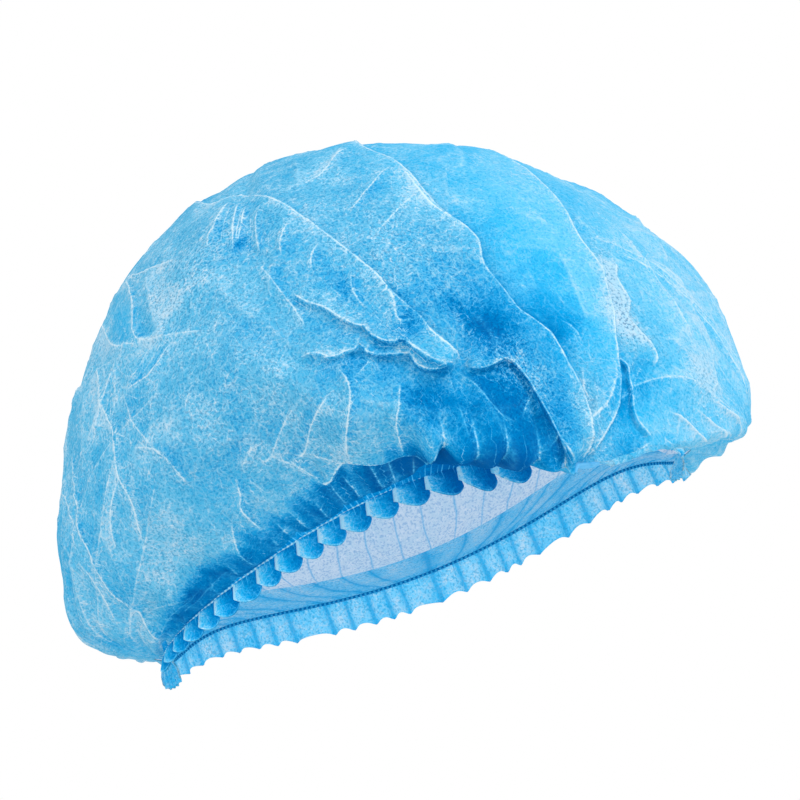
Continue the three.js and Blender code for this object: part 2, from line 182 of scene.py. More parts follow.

# Single creases: ridges that the cloth keeps from its packing, each drawn with a painted highlight along it of
# strength glow.
CREASES = table(
    "name height glow route",
    ("pleat_top_left", 0.8, 0.75, ((101, 72), (97, 65), (94, 62))),
    ("pleat_fold_long", 1.0, 0.85, ((106, 62), (102, 56), (98, 51))),
    ("pleat_fold_short", 0.8, 0.6, ((109, 54), (105, 49), (101, 45))),
    ("pleat_twist", 0.5, 0.9, ((107, 61), (109, 54), (111, 49), (115, 43))),
    ("crinkle_1", 1.4, 0.9, ((83, 68), (80, 62), (77, 57))),
    ("crinkle_2", 1.4, 0.9, ((84, 66), (82, 60), (80, 53))),
    ("crinkle_3", 1.2, 0.9, ((85, 64), (83, 59), (81, 55))),
    ("crinkle_4", 1.4, 0.9, ((87, 61), (85, 56), (84, 51))),
    ("crinkle_5", 1.2, 0.9, ((90, 54), (88, 51), (87, 48))),
    ("crinkle_6", 1.2, 0.9, ((93, 48), (91, 46), (90, 43))),
    ("brow_fold", 0.8, 0.8, ((65, 80), (67, 72), (70, 67), (73, 62))),
    ("brow_drop", 1.0, 0.7, ((83, 50), (84, 46), (85, 41), (86, 35))),
    ("brow_nick", 0.8, 0.6, ((96, 42), (95, 38), (96, 34))),
    ("flap_fold", 0.8, 0.8, ((99, 38), (100, 34), (100, 31), (103, 30))),
    ("ruffle_tie_left", 0.8, 0.6, ((86, 30), (90, 32))),
    ("ruffle_tie_middle", 1.0, 0.7, ((93, 29), (95, 31))),
    ("ruffle_tie_right", 0.8, 0.7, ((97, 27), (101, 29))),
    ("ridge_top", 0.8, 0.7, ((89, 22), (91, 23), (93, 25), (95, 27))),
    ("front_ridge", 1.8, 1.0, ((88, 26), (89, 22), (88, 18), (86, 14), (84, 10))),
    ("front_sweep", 1.2, 0.9, ((70, 15), (75, 14), (80, 17), (84, 20), (86, 22))),
    ("front_fork", 1.0, 0.8, ((75, 14), (78, 12), (82, 10))),
    ("cheek_left", 1.2, 0.8, ((68, 17), (72, 13), (74, 8))),
    ("cheek_top", 1.0, 0.7, ((65, 17), (68, 17), (71, 18), (79, 21))),
    ("cheek_step", 1.3, 1.0, ((60, 19), (57, 15), (55, 14), (54, 10), (53, 7))),
    ("cheek_step_top", 0.8, 0.6, ((60, 19), (63, 19), (69, 21))),
    ("cheek_tick", 0.8, 0.6, ((55, 14), (52, 13))),
    ("cheek_drop", 0.8, 0.4, ((61, 18), (62, 12))),
    ("drape_pale", 1.2, 0.9, ((97, 23), (96, 19), (95, 14), (95, 8))),
    ("drape_left", 0.8, 0.5, ((103, 19), (102, 16), (101, 14))),
    ("drape_tie", 0.8, 0.6, ((105, 24), (105, 20))),
    ("drape_faint", 0.6, 0.4, ((105, 20), (105, 16), (105, 13))),
    ("lobe_arc", 0.8, 0.6, ((106, 24), (109, 21), (110, 19), (112, 17), (114, 17))),
    ("lobe_cut", 1.0, 0.8, ((114, 17), (116, 20), (118, 22))),
    ("lobe_spoke", 1.0, 0.9, ((121, 18), (119, 16), (117, 14))),
    ("hollow_right", 1.0, 0.7, ((133, 27), (130, 22), (126, 19), (123, 15))),
    ("eye_line", 0.8, 0.7, ((128, 26), (127, 23), (128, 21))),
    ("twist_line", 0.8, 0.6, ((126, 31), (128, 30), (129, 28))),
    ("bulge_line", 0.8, 0.6, ((125, 13), (131, 13), (135, 14), (139, 16))),
    ("fan_1", 1.6, 0.9, ((151, 28), (155, 27), (160, 27))),
    ("fan_2", 1.6, 0.9, ((148, 24), (152, 22), (158, 20))),
    ("fan_3", 1.6, 0.9, ((142, 22), (146, 20), (149, 18), (153, 16))),
    ("fan_4", 1.2, 0.8, ((140, 17), (142, 15), (144, 13))),
    ("fan_edge_1", 0.8, 0.6, ((151, 28), (153, 33), (155, 37))),
    ("fan_edge_2", 0.8, 0.5, ((148, 24), (150, 29))),
    ("side_streak", 0.6, 0.4, ((140, 60), (146, 48), (150, 38))),
    ("dart_right", 1.1, 1.0, ((65, 78), (64, 66), (61, 57), (63, 51))),
    ("dart_left", 0.9, 0.8, ((58, 79), (57, 67), (58, 60), (60, 57))),
    ("dart_base", 0.8, 0.6, ((54, 51), (58, 50), (63, 51))),
    ("dart_curl", 1.2, 1.0, ((54, 50), (59, 46), (62, 46), (66, 47))),
    ("dart_side", 0.6, 0.4, ((61, 57), (63, 52), (66, 48))),
    ("left_line_1", 0.8, 0.6, ((54, 51), (52, 42), (53, 30), (52, 22))),
    ("left_line_2", 1.1, 1.0, ((54, 66), (50, 56), (48, 46), (44, 38), (42, 32), (36, 26))),
    ("left_tick", 0.8, 0.6, ((36, 25), (33, 28))),
    ("left_line_3", 0.9, 0.9, ((44, 38), (37, 36), (32, 31))),
    ("left_line_4", 0.8, 0.5, ((50, 49), (47, 40))),
    ("left_line_5", 1.0, 0.9, ((34, 50), (30, 40), (24, 30), (21, 20), (17, 14), (13, 4))),
    ("left_line_6", 0.9, 0.8, ((27, 44), (25, 37), (20, 30), (17, 27))),
    ("left_line_7", 0.6, 0.4, ((19, 40), (13, 32))),
    ("left_line_8", 0.8, 0.5, ((49, 39), (53, 32), (53, 26))),
    ("left_line_9", 0.6, 0.4, ((56, 58), (50, 50), (45, 56))),
    ("left_line_10", 0.9, 0.9, ((40, 66), (36, 55), (30, 40))),
    ("left_line_11", 0.8, 0.8, ((34, 71), (32, 52), (28, 46))),
    ("left_line_12", 0.8, 0.8, ((56, 58), (52, 56), (47, 54), (44, 52))),
    ("left_line_13", 0.8, 0.8, ((52, 14), (46, 8), (44, 2))),
    ("dart_band", 0.6, 0.6, ((57, 66), (60, 56), (66, 48), (72, 41))),
    ("hem_edge_left", 0.2, 0.3, ((22, 6), (40, 5))),
    ("hem_edge_right", 0.2, 0.3, ((50, 4), (62, 5))),
)
CREASE_WIDTH = 1.3
CREASE_MARGIN = 6
CREASE_FADE = 7.0
# Painted shade on the left of each crease and painted light on its right: their reach and strength.
CREASE_SHADING_REACH = 5.0
CREASE_SHADING = 0.14
ROUTE_STEP = 3.0
ROUTE_SAMPLES = 12
# A bright line hides a nearer one that is this much, in millimetres for each unit of glow, less bright.
BRIGHTER_LEAD = 1.5
FAINTEST_GLOW = 0.02

# Families of like creases. The seam's are drawn up from the front seam by the elastic, and the ends' fan
# out from the gathered ends.
SEAM_CREASES = {"from": 14.0, "to": 97.0, "count": 15, "top": 9.0, "lean": 4.5, "play": 1.2}
END_CREASES = table(
    "name start count from to length seed",
    ("left_end", 5.0, 26, 8.0, 170.0, (16.0, 60.0), 3),
    ("right_end", 175.0, 22, 8.0, 170.0, (14.0, 44.0), 4),
)

# Patches of the crown where the blue is deeper or paler, in degrees, turned from the along axis: partly where
# the layers lie deeper or thinner, and partly painted shade in hollows, under folds and along the rim and
# painted light on the parts that face the light.
PATCHES = table(
    "name along across long wide deep grain turn",
    ("left_end", 6, 30, 8, 40, 0.14, -0.2),
    ("left_fibres", 30, 17, 12, 6, -0.08, 0.2),
    ("cheek_window", 68, 28, 12, 10, 0.02, 0.25),
    ("cheek_shadow", 56, 17, 4, 6, 0.12, -0.2, 50),
    ("brow_window", 73, 56, 8, 12, -0.02, 0.4),
    ("brow_low", 73, 38, 8, 4, 0.02, 0.0, -30),
    ("dart", 61, 66, 3, 13, 0.08, -0.4),
    ("dart_low", 60, 48, 5, 3, 0.04, -0.3),
    ("crinkle_shade", 84, 57, 5, 9, 0.02, 0.2, 60),
    ("pleat_window", 103, 42, 9, 8, -0.02, 0.4),
    ("front_facet", 82, 14, 6, 5, 0.12, 0.1),
    ("drape_window", 97, 11, 3, 5, -0.06, 0.1),
    ("ruffle_hollow", 98, 27, 12, 6, 0.04, 0.0, -35),
    ("ruffle_end", 105, 22, 8, 6, 0.0, -0.2),
    ("lobes", 112, 17, 11, 8, 0.48, -0.4, -10),
    ("lobes_low", 111, 9, 14, 5, 0.28, -0.6),
    ("drape_shade", 99, 18, 6, 7, 0.04),
    ("tier_shade", 105, 8, 8, 5, 0.36, -0.6),
    ("pleat_hollow", 110, 31, 7, 2, 0.22, 0.3, -45),
    ("lobe_fibres", 117, 24, 5, 3, -0.06, 1.4, -20),
    ("crown_hollow", 124, 30, 6, 6, 0.18, -0.3),
    ("crown_deep", 123, 42, 8, 10, 0.08, -0.2),
    ("side_hollow", 134, 21, 4, 6, 0.24, -0.4),
    ("eye", 129, 25, 2, 3, 0.1, -0.2),
    ("side_window", 137, 38, 2, 8, -0.26, 0.8),
    ("side_window_low", 138, 33, 4, 3, -0.24, 0.9),
    ("triangle", 126, 21, 2, 5, -0.12, 0.6, -40),
    ("right_pale", 149, 52, 14, 25, -0.06),
    ("ruffle_folds", 98, 33, 10, 5, 0.24, 0.1, -35),
    ("pleat_low", 115, 30, 8, 5, 0.36, -0.2, -40),
    ("pleat_middle", 112, 37, 6, 4, 0.22, 0.2, -40),
    ("lobe_right", 121, 20, 3, 10, 0.24, -0.2, -20),
    ("brow_fold_low", 91, 44, 5, 5, 0.14, 0.0, -45),
    ("under_ruffle", 87, 33, 6, 3, 0.12, 0.0, -20),
    ("seam_left", 31, 10, 12, 4, 0.36),
    ("lobe_corner", 124, 4, 4, 6, 0.26),
    ("rim_middle", 100, 6, 5, 3, 0.46),
    ("brow_right", 82, 53, 5, 7, 0.04),
    ("front_left", 75, 21, 6, 4, 0.12),
    ("front_top", 84, 25, 5, 5, 0.1),
    ("cheek_left_side", 64, 22, 5, 4, 0.1),
    ("cheek_foot", 53, 12, 5, 4, 0.1),
    ("right_rim", 141, 4, 5, 6, 0.56),
    ("seam_middle", 90, 5, 8, 4, 0.18),
    ("under_lobe", 126, 3, 4, 4, 0.44),
    ("triangle_light", 129, 26, 3, 3, -0.26, 0.2),
    ("lobe_edge_light", 119, 10, 2, 3, -0.24),
    ("ruffle_between", 101, 30, 3, 2, 0.4),
    ("lobe_shade", 111, 9, 5, 4, 0.2),
    ("tier_corner", 101, 5, 3, 3, 0.7),
    ("lobe_middle", 115, 22, 4, 4, 0.04),
    ("side_rim", 131, 5, 4, 4, 0.22),
    ("far_rim", 155, 1, 6, 4, 0.46),
    ("cheek_pale", 68, 52, 6, 4, -0.2, 0.1),
    ("brow_foot", 79, 34, 4, 4, 0.12),
    ("brow_end", 82, 54, 4, 4, 0.2),
    ("pleat_top", 110, 45, 6, 4, 0.24),
    ("side_foot", 138, 26, 4, 4, 0.34),
    ("pleat_crest", 101, 57, 4, 5, 0.14),
    ("left_foot", 29, 24, 6, 5, 0.1),
    ("far_side", 163, 34, 6, 8, 0.1),
    ("left_shoulder", 55, 80, 6, 8, -0.14, 0.1),
    ("side_low", 128, 28, 3, 4, 0.2),
    ("cheek_low", 58, 21, 4, 4, 0.12),
    ("cheek_high", 65, 21, 4, 3, 0.1),
    ("front_high", 92, 29, 8, 4, 0.1),
    ("front_middle", 96, 19, 5, 4, 0.14),
    ("front_right", 102, 17, 4, 4, 0.16),
    ("brow_under", 77, 38, 5, 5, 0.1),
    ("front_light", 85, 11, 4, 3, -0.32),
    ("bulge_rim", 133, 14, 4, 3, 0.18),
    ("ruffle_top", 94, 39, 2, 3, 0.32),
    ("pleat_back", 102, 40, 3, 3, 0.1),
    ("side_edge", 148, 5, 4, 4, 0.26),
    ("side_eye", 131, 24, 2, 4, 0.16),
    ("lobe_top", 114, 27, 3, 3, 0.2),
    ("right_patch", 150, 31, 3, 5, -0.16, 0.5),
)

# The band along the front seam, where the hem lies behind the crown and the cloth is two layers deeper, with
# painted shade for the cloth's underside that faces down over the seam.
SEAM_BAND = {"deep": 0.50, "grain": -0.5, "from": 8.0, "to": 118.0, "ends": 14.0, "top": 12.0, "soft": 8.0,
             "waves": ((0.8, 0.9), (0.5, 2.3))}

# Drapes hang over the front seam between these places along it, each with a painted highlight on its left edge
# and painted light paling the cloth beside it.
DRAPES = (97, 101, 106, 111, 116, 120, 123)
DRAPE_LEAN = 0.08
DRAPE_HEIGHT = 1.6
DRAPE_DROP = 3.0
DRAPE_TOP = 26
DRAPE_DROP_TOP = 18
DRAPE_GLOW_TOP = 19
DRAPE_HIGHLIGHT = 0.26
DRAPE_HIGHLIGHT_REACH = 1.6
DRAPE_GLOW = 0.85
# Millimetres to a degree along the front seam.
SEAM_SCALE = 1.9

# Crumpled facets of the cloth: two nets of cells. Their edges are raised by height, soften wide, and
# about the share shown of them carries a painted highlight; tone is how much the cells differ in blue, painted
# shading that steps at random from facet to facet as if each faced the light its own way.
FACETS = table(
    "name cells height soften tone glow shown seed",
    ("broad", 210, 0.9, 3.0, 0.045, 0.35, 0.4, 11),
    ("fine", 1500, 0.35, 1.3, 0.025, 0.25, 0.4, 12),
)
FACET_LINE = 0.9
FACET_WARP = 1.6
FACET_WARP_WAVES = 4
FACET_WARP_LENGTH = 16
# Factors of a sine whose last digits give each pair of cells a chance of its own.
CHANCE = (12.9898, 78.233, 43758.5)
DISTANCES_AT_ONCE = 2_000_000
SWELL_HEIGHT = 1.3
SWELL_LENGTHS = (90.0, 34.0)
SWELL_WAVES = 9
SWELL_TONE = 0.03

# Gathers that fan out from the two welded ends, and puckers that the elastic draws in.
GATHER_COUNT = 26
GATHER_HEIGHT = 3.0
# Painted light on the gathers' ridges and painted shade in their hollows.
GATHER_SHADING = 0.10
GATHER_REACH = 26.0
RUFFLE_COUNT = 28
PUCKER_HEIGHT = 1.3
PUCKER_REACH = 9.0
# Strength of the painted highlight where the puckers pinch.
PUCKER_GLOW = 0.4
LONG_PUCKER_PITCH = 27.0
LONG_PUCKER_HEIGHT = 2.0
LONG_PUCKER_START = 12.0
LONG_PUCKER_REACH = 30.0
FRONT_HOLD = 3.0
BACK_HOLD = 16.0
END_HOLD = 3.0

# Hems. A band lies inside the crown along each edge, and below the elastic's seam it goes on as a ruffle
# of lapped tongues. swell is how far a tongue stands out, lap how far its left edge laps over the one
# before it, and bite how much shorter the ruffle is between its longest places, which are the folds in a
# pointed hem. deep is how blue the hem is, middle how much more so it is at its middle, glow its share of
# the cloth's painted glow, raised to light the hem where it lies in shade, and band the height of its band
# inside the crown.
HEM_TAPER = 1.5
HEM_INSET = 1.0
HEM_INSET_REACH = 1.5
RUFFLE_AT_ENDS = 0.6
TONGUE_SKEW = 1.3
TONGUE_WANDER = ((0.30, 31), (0.12, 67, 2))
TONGUE_UNEVEN = 0.10
LONGEST_AT = 122.0
LONGER_SHARE = 0.30
HIDDEN_FROM = 138.0
HIDDEN_SHARE = 0.80
RUFFLE_CHANGE = 12
TONGUE_ROUND = 0.45
TONGUE_CREST = 0.5
TONGUE_EDGE = 0.06
# Each tongue deepens from its bright left edge to its right, painted light where it faces the light and painted
# shade beyond: its tone at the left, how much that rises, and how much paler the edge is and over what reach.
TONGUE_SHADING = {"start": -0.28, "rise": 0.46, "edge": 0.36, "reach": 2.4}
RUFFLE_SAMPLES = 22
HEM_START = 3.0
# Places along the front edge, in degrees, where one tongue of the front ruffle ends and the next begins.
TONGUES = (3, 9, 14, 19, 24, 29, 35, 42, 48, 55, 62, 70,
           79, 89, 100, 111, 121, 131, 140, 148, 156, 164, 171, 177)
HEMS = table(
    "name node edge depth swell lap bite pointed deep middle grain glow band",
    ("front_ruffle", "front_hem", FRONT_EDGE, 10.6, 3.4, 1.4, 0.60, False, 0.76, 0.24, 0.5, 2.2, 7.5),
    ("back_ruffle", "back_hem", BACK_EDGE, 13.5, 2.2, 0.1, 0.20, True, 0.16, 0.0, 0.8, 2.4, 13.0),
)
# Where along a hem its middle lies and how far that reaches, and where it turns paler and by what share.
HEM_MIDDLE = (114, 16)
HEM_PALER_FROM = 138
HEM_PALER = 0.3

# Elastics: a stitched cord in the seam, with a bead at each stitch, set out from the edge by out.
ELASTICS = table(
    "name node edge radius out",
    ("front_seam", "front_elastic", FRONT_EDGE, 0.5, 0.6),
    ("back_seam", "back_elastic", BACK_EDGE, 0.6, -1.1),
)
STITCH_PITCH = 1.9
STITCH_DEPTH = 0.14
SEAM_SIDES = 8

# Gathered ends, welded at the top and hanging as a short pleated tab that leans along the cap by lean.
TABS = table(
    "name node side length half lean top deep",
    ("left_tab", "left_end_gather", -1, 13.0, 4.4, -1.0, 2.0, 0.26),
    ("right_tab", "right_end_gather", 1, 9.4, 3.4, -4.0, 2.0, 0.12),
)
TAB_PLEATS = 5
TAB_FOLD = 0.7
# Shares of a tab's half width at the weld and gained below it, and of its length lost at its corners.
TAB_NECK = 0.42
TAB_WIDENING = 0.58
TAB_CORNER = 0.22

SLOPE_STEP = 0.4
ROOT = "root"

# How much lighter than its own colour the cloth looks under the studio's light.
LIGHT_GAIN = 1.78


def srgb(red, green, blue):
    """The cloth's colour that looks, under the studio's light, like a display colour of 0 to 255."""
    def line(value):
        value /= 255
        return (value / 12.92 if value <= 0.04045 else ((value + 0.055) / 1.055) ** 2.4) / LIGHT_GAIN
    return (line(red), line(green), line(blue), 1.0)


# ---------------------------------------------------------------- The puffed form


def ease(t):
    """Smooth step from 0 to 1: three times the square less twice the cube."""
    t = np.clip(t, 0, 1)
    return t * t * (3 - 2 * t)


def between(value, low, high, soft, soft_high=None):
    """1 between low and high and 0 beyond them, eased over soft inside low and soft_high inside high."""
    return ease((value - low) / soft) * ease((high - value) / (soft_high or soft))


def mix(low, high, share):
    return low + (high - low) * share


def waves(place, rows):
    """A sum of sines of a place, each with its height and pace and, if it has one, a phase."""
    return sum(height * np.sin(place * pace + sum(phase)) for height, pace, *phase in rows)


def run_along(steps):
    """The distance run at the start and at the end of each of a row of steps."""
    return np.concatenate([[0], np.cumsum(steps)])


def step_lengths(points):
    return np.linalg.norm(np.diff(points, axis=0), axis=1)


def unit(vectors):
    return vectors / np.maximum(np.linalg.norm(vectors, axis=-1, keepdims=True), 1e-9)


def direction(along, across):
    """Unit direction from the opening's centre."""
    a, b = np.radians(along), np.radians(across)
    return np.stack([-np.cos(a), -np.sin(a) * np.cos(b), np.sin(a) * np.sin(b)], -1)


def body_radius(way):
    """Distance to the body, a rounded box of three powers, found by halving."""
    low = np.zeros(way.shape[:-1])
    high = np.full(way.shape[:-1], 2 * BODY_TOP)
    for _ in range(30):
        radius = (low + high) / 2
        x = way[..., 0] * radius / np.where(way[..., 0] < 0, BODY_LEFT, BODY_RIGHT)
        y = way[..., 1] * radius / BODY_HALF_DEPTH
        widest = BODY_WIDEST_HEIGHT + BODY_SLANT * way[..., 0] * radius
        up = way[..., 2] * radius - widest
        z = up / np.where(up > 0, BODY_TOP - widest, BODY_UNDERSIDE)
        inside = np.abs(x) ** BODY_ROUNDNESS + np.abs(y) ** BODY_ROUNDNESS + np.abs(z) ** BODY_ROUNDNESS < 1
        low, high = np.where(inside, radius, low), np.where(inside, high, radius)
    return low


def edge_at(around):
    """rise, in radians, and sag at an angle round the opening, eased from row to row."""
    starts = np.array([row["around"] for row in EDGE_ROWS], float)
    index = np.searchsorted(starts, around, side="right") - 1
    after = (index + 1) % len(EDGE_ROWS)
    share = ease((around - starts[index]) / ((starts[after] - starts[index]) % 360))
    rise = np.array([row["rise"] for row in EDGE_ROWS], float)
    sag = np.array([row["sag"] for row in EDGE_ROWS], float)
    return np.radians(mix(rise[index], rise[after], share)), mix(sag[index], sag[after], share)


def puffed(along, across):
    """The puffed form without folds: the oval edge blends out to the body over the angle rise, is lifted
    by the edge's arch, tilt and dip, and sags where it is out at its full width."""
    way = direction(along, across)
    elevation = np.arcsin(np.clip(way[..., 2], -1, 1))
    around = (np.degrees(np.arctan2(-way[..., 1], -way[..., 0])) + 360) % 360
    rise, sag = edge_at(around)
    flat = np.maximum(np.hypot(way[..., 0], way[..., 1]), 1e-6)
    front = way[..., 1] < 0

    def of_edge(key):
        return np.where(front, FRONT_EDGE[key], BACK_EDGE[key])

    edge = 1 / np.hypot(way[..., 0] / flat / OPENING_HALF_LENGTH, way[..., 1] / flat / of_edge("depth"))
    out = elevation / rise
    spread = np.sin(np.pi / 2 * np.clip(out, 0, 1))
    points = way * mix(edge, body_radius(way), spread)[..., None]
    place = np.clip(points[..., 0] / OPENING_HALF_LENGTH, -1, 1)
    middle = 1 - place**2
    lift = of_edge("arch") * (1 - np.abs(place) ** of_edge("squareness"))
    lift += of_edge("tilt") * place * middle - of_edge("dip") * middle**2
    hang = np.where(out < 1, ease(out), 1 - ease((out - 1) / HANG_FADE))
    points[..., 2] += lift * (1 - ease(elevation / np.radians(ARCH_FADE))) - sag * hang
    return points


def slopes(along, across):
    """Points of the puffed form with the unit steps along and across it and its outward normal."""
    low, high = np.maximum(across - SLOPE_STEP, 0), np.minimum(across + SLOPE_STEP, 180)
    step_along = puffed(along + SLOPE_STEP, across) - puffed(along - SLOPE_STEP, across)
    step_across = puffed(along, high) - puffed(along, low)
    return puffed(along, across), unit(step_along), unit(step_across), unit(np.cross(step_along, step_across))


def leaning(line, across):
    """Where a line of the net lies: it leans to the right down the front, most in the cap's middle."""
    return line + PLEAT_LEAN * np.sin(np.radians(line)) ** 2 * np.clip(1 - across / 90, 0, 1) ** LEAN_CURVE


EDGE_ALONG = np.linspace(0, 180, 361)


def edge_run(along, across=0.0):
    """Distance run along an edge of the opening from the left end."""
    points = puffed(EDGE_ALONG, np.full_like(EDGE_ALONG, across))
    return np.interp(along, EDGE_ALONG, run_along(step_lengths(points)))


# ---------------------------------------------------------------- Folds


class Cloth:
    """A net of points of the cloth with all that shapes and colours them: along and across, the puffed
    points with their steps and normals, and for each point its height, shift, deep, grain, line and glow.
    line is the signed distance to the nearest painted highlight line, on a crease or edge, in millimetres, and
    glow that highlight's strength."""

    def __init__(self, along, across):
        self.along, self.across = along, across
        self.points, self.step_along, self.step_across, self.normal = slopes(along, across)
        shape = along.shape
        self.height = np.zeros(shape)
        self.shift = np.zeros(shape + (3,))
        self.deep = np.zeros(shape)
        self.grain = np.ones(shape)
        self.line = np.full(shape, FAR)
        self.glow = np.zeros(shape)
        self.soft_glow = np.zeros(shape)
        ends = ease(np.sin(np.radians(along)) * END_HOLD)
        self.held = between(across, 0, 180, FRONT_HOLD, BACK_HOLD) * ends
        self.run = np.where(across < 90, edge_run(along), edge_run(along, 180.0))
        step = np.linalg.norm(np.diff(self.points, axis=1, prepend=self.points[:, :1]), axis=-1)
        up = np.cumsum(step, axis=1)
        self.low = np.minimum(up, up[:, -1:] - up)

    def placed(self):
        lifted = self.points + self.normal * (self.height * self.held)[..., None]
        return lifted + self.shift * self.held[..., None]

    def mark(self, gap, glow):
        """Keeps the nearest bright line at each point, the brighter one where two are close."""
        nearer = np.abs(gap) < np.abs(self.line) - BRIGHTER_LEAD * (self.glow - glow)
        nearer &= glow > FAINTEST_GLOW
        self.line = np.where(nearer, gap, self.line)
        self.glow = np.where(nearer, glow, self.glow)

    def mark_at(self, which, gap, glow):
        """Does so at the points of which, with no line near at the others."""
        gaps, glows = np.full(self.line.shape, FAR), np.zeros(self.line.shape)
        gaps.flat[which], glows.flat[which] = gap, glow
        self.mark(gaps, glows)


def smooth_route(route, step=ROUTE_STEP):
    """Places along a Catmull-Rom curve through the route's places, about step millimetres apart."""
    places = np.array(route, float)
    padded = np.vstack([2 * places[0] - places[1], places, 2 * places[-1] - places[-2]])
    t = np.linspace(0, 1, ROUTE_SAMPLES, endpoint=False)[:, None]
    spans = []
    for a, b, c, d in zip(padded, padded[1:], padded[2:], padded[3:]):
        bend, twist = 2 * a - 5 * b + 4 * c - d, 3 * b - a - 3 * c + d
        spans.append(0.5 * (2 * b + (c - a) * t + bend * t**2 + twist * t**3))
    chart = np.vstack([*spans, places[-1:]])
    points = puffed(chart[:, 0], chart[:, 1])
    run = run_along(step_lengths(points))
    count = max(int(run[-1] / step), 2)
    even = np.linspace(0, run[-1], count + 1)
    chart = np.stack([np.interp(even, run, chart[:, 0]), np.interp(even, run, chart[:, 1])], -1)
    return puffed(chart[:, 0], chart[:, 1])


def beside(cloth, route, margin):
    """For the cloth's points within margin of a route: which they are, their signed distance from it
    (positive on its left), the distance run along it, its whole length and the direction to its left."""
    knots = smooth_route(route)
    steps = np.diff(knots, axis=0)
    lengths = np.linalg.norm(steps, axis=1)
    runs = run_along(lengths)
    flat = cloth.points.reshape(-1, 3)
    low, high = knots.min(0) - margin, knots.max(0) + margin
    which = np.flatnonzero(((flat > low) & (flat < high)).all(1))
    near = flat[which]
    normal = cloth.normal.reshape(-1, 3)[which]
    best = np.full(len(which), np.inf)
    run = np.zeros(len(which))
    left = np.zeros((len(which), 3))
    signed = np.zeros(len(which))
    for start, step, length, so_far in zip(knots, steps, lengths, runs):
        share = np.clip((near - start) @ step / length**2, 0, 1)
        away = near - start - share[:, None] * step
        distance = np.linalg.norm(away, axis=1)
        closer = distance < best
        sideways = unit(np.cross(normal[closer], step))
        lean = np.sum(away[closer] * sideways, axis=1)
        best[closer] = distance[closer]
        run[closer] = so_far + share[closer] * length
        left[closer] = sideways
        signed[closer] = np.where(lean < 0, -1, 1) * distance[closer]
    keep = best < margin
    return which[keep], signed[keep], run[keep], runs[-1], left[keep]


def add_lip(cloth, lip):
    """A lapped fold. On the raised side the cloth stands height up and sinks back exponentially; past the
    lip it drops over LIP_DROP. The lip is shifted over the low side, and the foot is tucked back under."""
    margin = LIP_MARGIN * max(lip["reach"], LIP_SHADE_REACH)
    which, signed, run, length, left = beside(cloth, lip["route"], margin)
    fade = between(run, 0, length, lip["fade"])
    share = run / length
    inward = signed * lip["side"]
    raised, back = inward > 0, np.maximum(inward, 0)
    drop = -inward / LIP_DROP
    past = 1 - ease(drop)
    lap = np.where(raised, np.exp(-back / lip["reach"]), past)
    over = mix(*lip["over"], share) * np.where(raised, np.exp(-((inward / LIP_OVER_REACH) ** 2)), past)
    foot = np.where(drop > 1, np.exp((inward + LIP_DROP) / LIP_FOOT_REACH), ease(drop))
    height = mix(*lip["height"], share)
    cloth.height.flat[which] += height * lap * fade
    tuck = LIP_TUCK * np.clip(height / LIP_TUCK_HEIGHT, 0, 1) * foot * (inward < 0)
    cloth.shift.reshape(-1, 3)[which] += -left * lip["side"] * ((over - tuck) * fade)[:, None]
    # Painted light pales the raised side near the lip, painted shade together with the fold's extra layers
    # deepens the low side, and the edge gets a painted highlight line.
    pale = np.where(raised, np.exp(-back / LIP_PALE_REACH), 0)
    shade = np.where(inward < 0, np.exp(np.minimum(inward, 0) / LIP_SHADE_REACH), 0)
    cloth.deep.flat[which] += fade * (lip["shade"] * shade - lip["pale"] * pale)
    bright = 0.8 + 0.2 * np.sin(run / 7 + np.sin(run / 3.1))
    cloth.mark_at(which, inward - LIP_LINE_INWARD, lip["glow"] * fade * bright)


def add_crease(cloth, crease):
    """A sharp ridge: height times the exponential of the distance from its route, with a painted highlight
    along it. Painted shade deepens the cloth on its left and painted light pales it on its right, as if one
    side faced the light, fading in the same way over the crease shading reach."""
    which, signed, run, length, _ = beside(cloth, crease["route"], CREASE_MARGIN * CREASE_WIDTH)
    fade = between(run, 0, length, CREASE_FADE)
    away = np.abs(signed)
    cloth.height.flat[which] += crease["height"] * np.exp(-away / CREASE_WIDTH) * fade
    tone = CREASE_SHADING * np.sign(signed) * np.exp(-away / CREASE_SHADING_REACH) * fade
    cloth.deep.flat[which] += tone * crease["glow"]
    cloth.mark_at(which, signed, crease["glow"] * fade)


def seam_creases():
    """Creases drawn up from the front seam at nearly even steps: one longer one, leaning less towards the
    middle, with two short ones that meet it near its foot."""
    random = np.random.default_rng(8)
    family = SEAM_CREASES
    for place in np.linspace(family["from"], family["to"], family["count"]):
        foot = place + random.uniform(-1, 1) * family["play"]
        top = family["top"] * random.uniform(0.6, 1.1)
        lean = family["lean"] * max(1 - foot / 88, 0) + 0.2
        glow = random.uniform(0.6, 1.0)
        yield {"name": "seam", "height": 1.0, "glow": glow,
               "route": ((foot, 0.4), (foot + lean * 0.45, top * 0.5), (foot + lean, top))}
        for side in (-1, 1):
            spread = side * random.uniform(0.7, 1.5)
            yield {"name": "seam_foot", "height": 0.5, "glow": glow * 0.8,
                   "route": ((foot + spread, 0.3), (foot + lean * 0.35, top * random.uniform(0.3, 0.5)))}


def end_creases(family):
    """Creases that fan out from a gathered end."""
    random = np.random.default_rng(family["seed"])
    side = 1 if family["start"] < 90 else -1
    for place in np.linspace(family["from"], family["to"], family["count"]):
        across = place + random.uniform(-3, 3)
        length = random.uniform(*family["length"])
        bend, turn = random.uniform(-6, 6), random.uniform(-10, 10)
        start = family["start"] + side * random.uniform(0, 8)
        yield {"name": family["name"], "height": 0.8, "glow": random.uniform(0.08, 0.55),
               "route": ((start, across), (start + side * length * 0.5, across + bend),
                         (start + side * length, np.clip(across + turn, 4, 176)))}


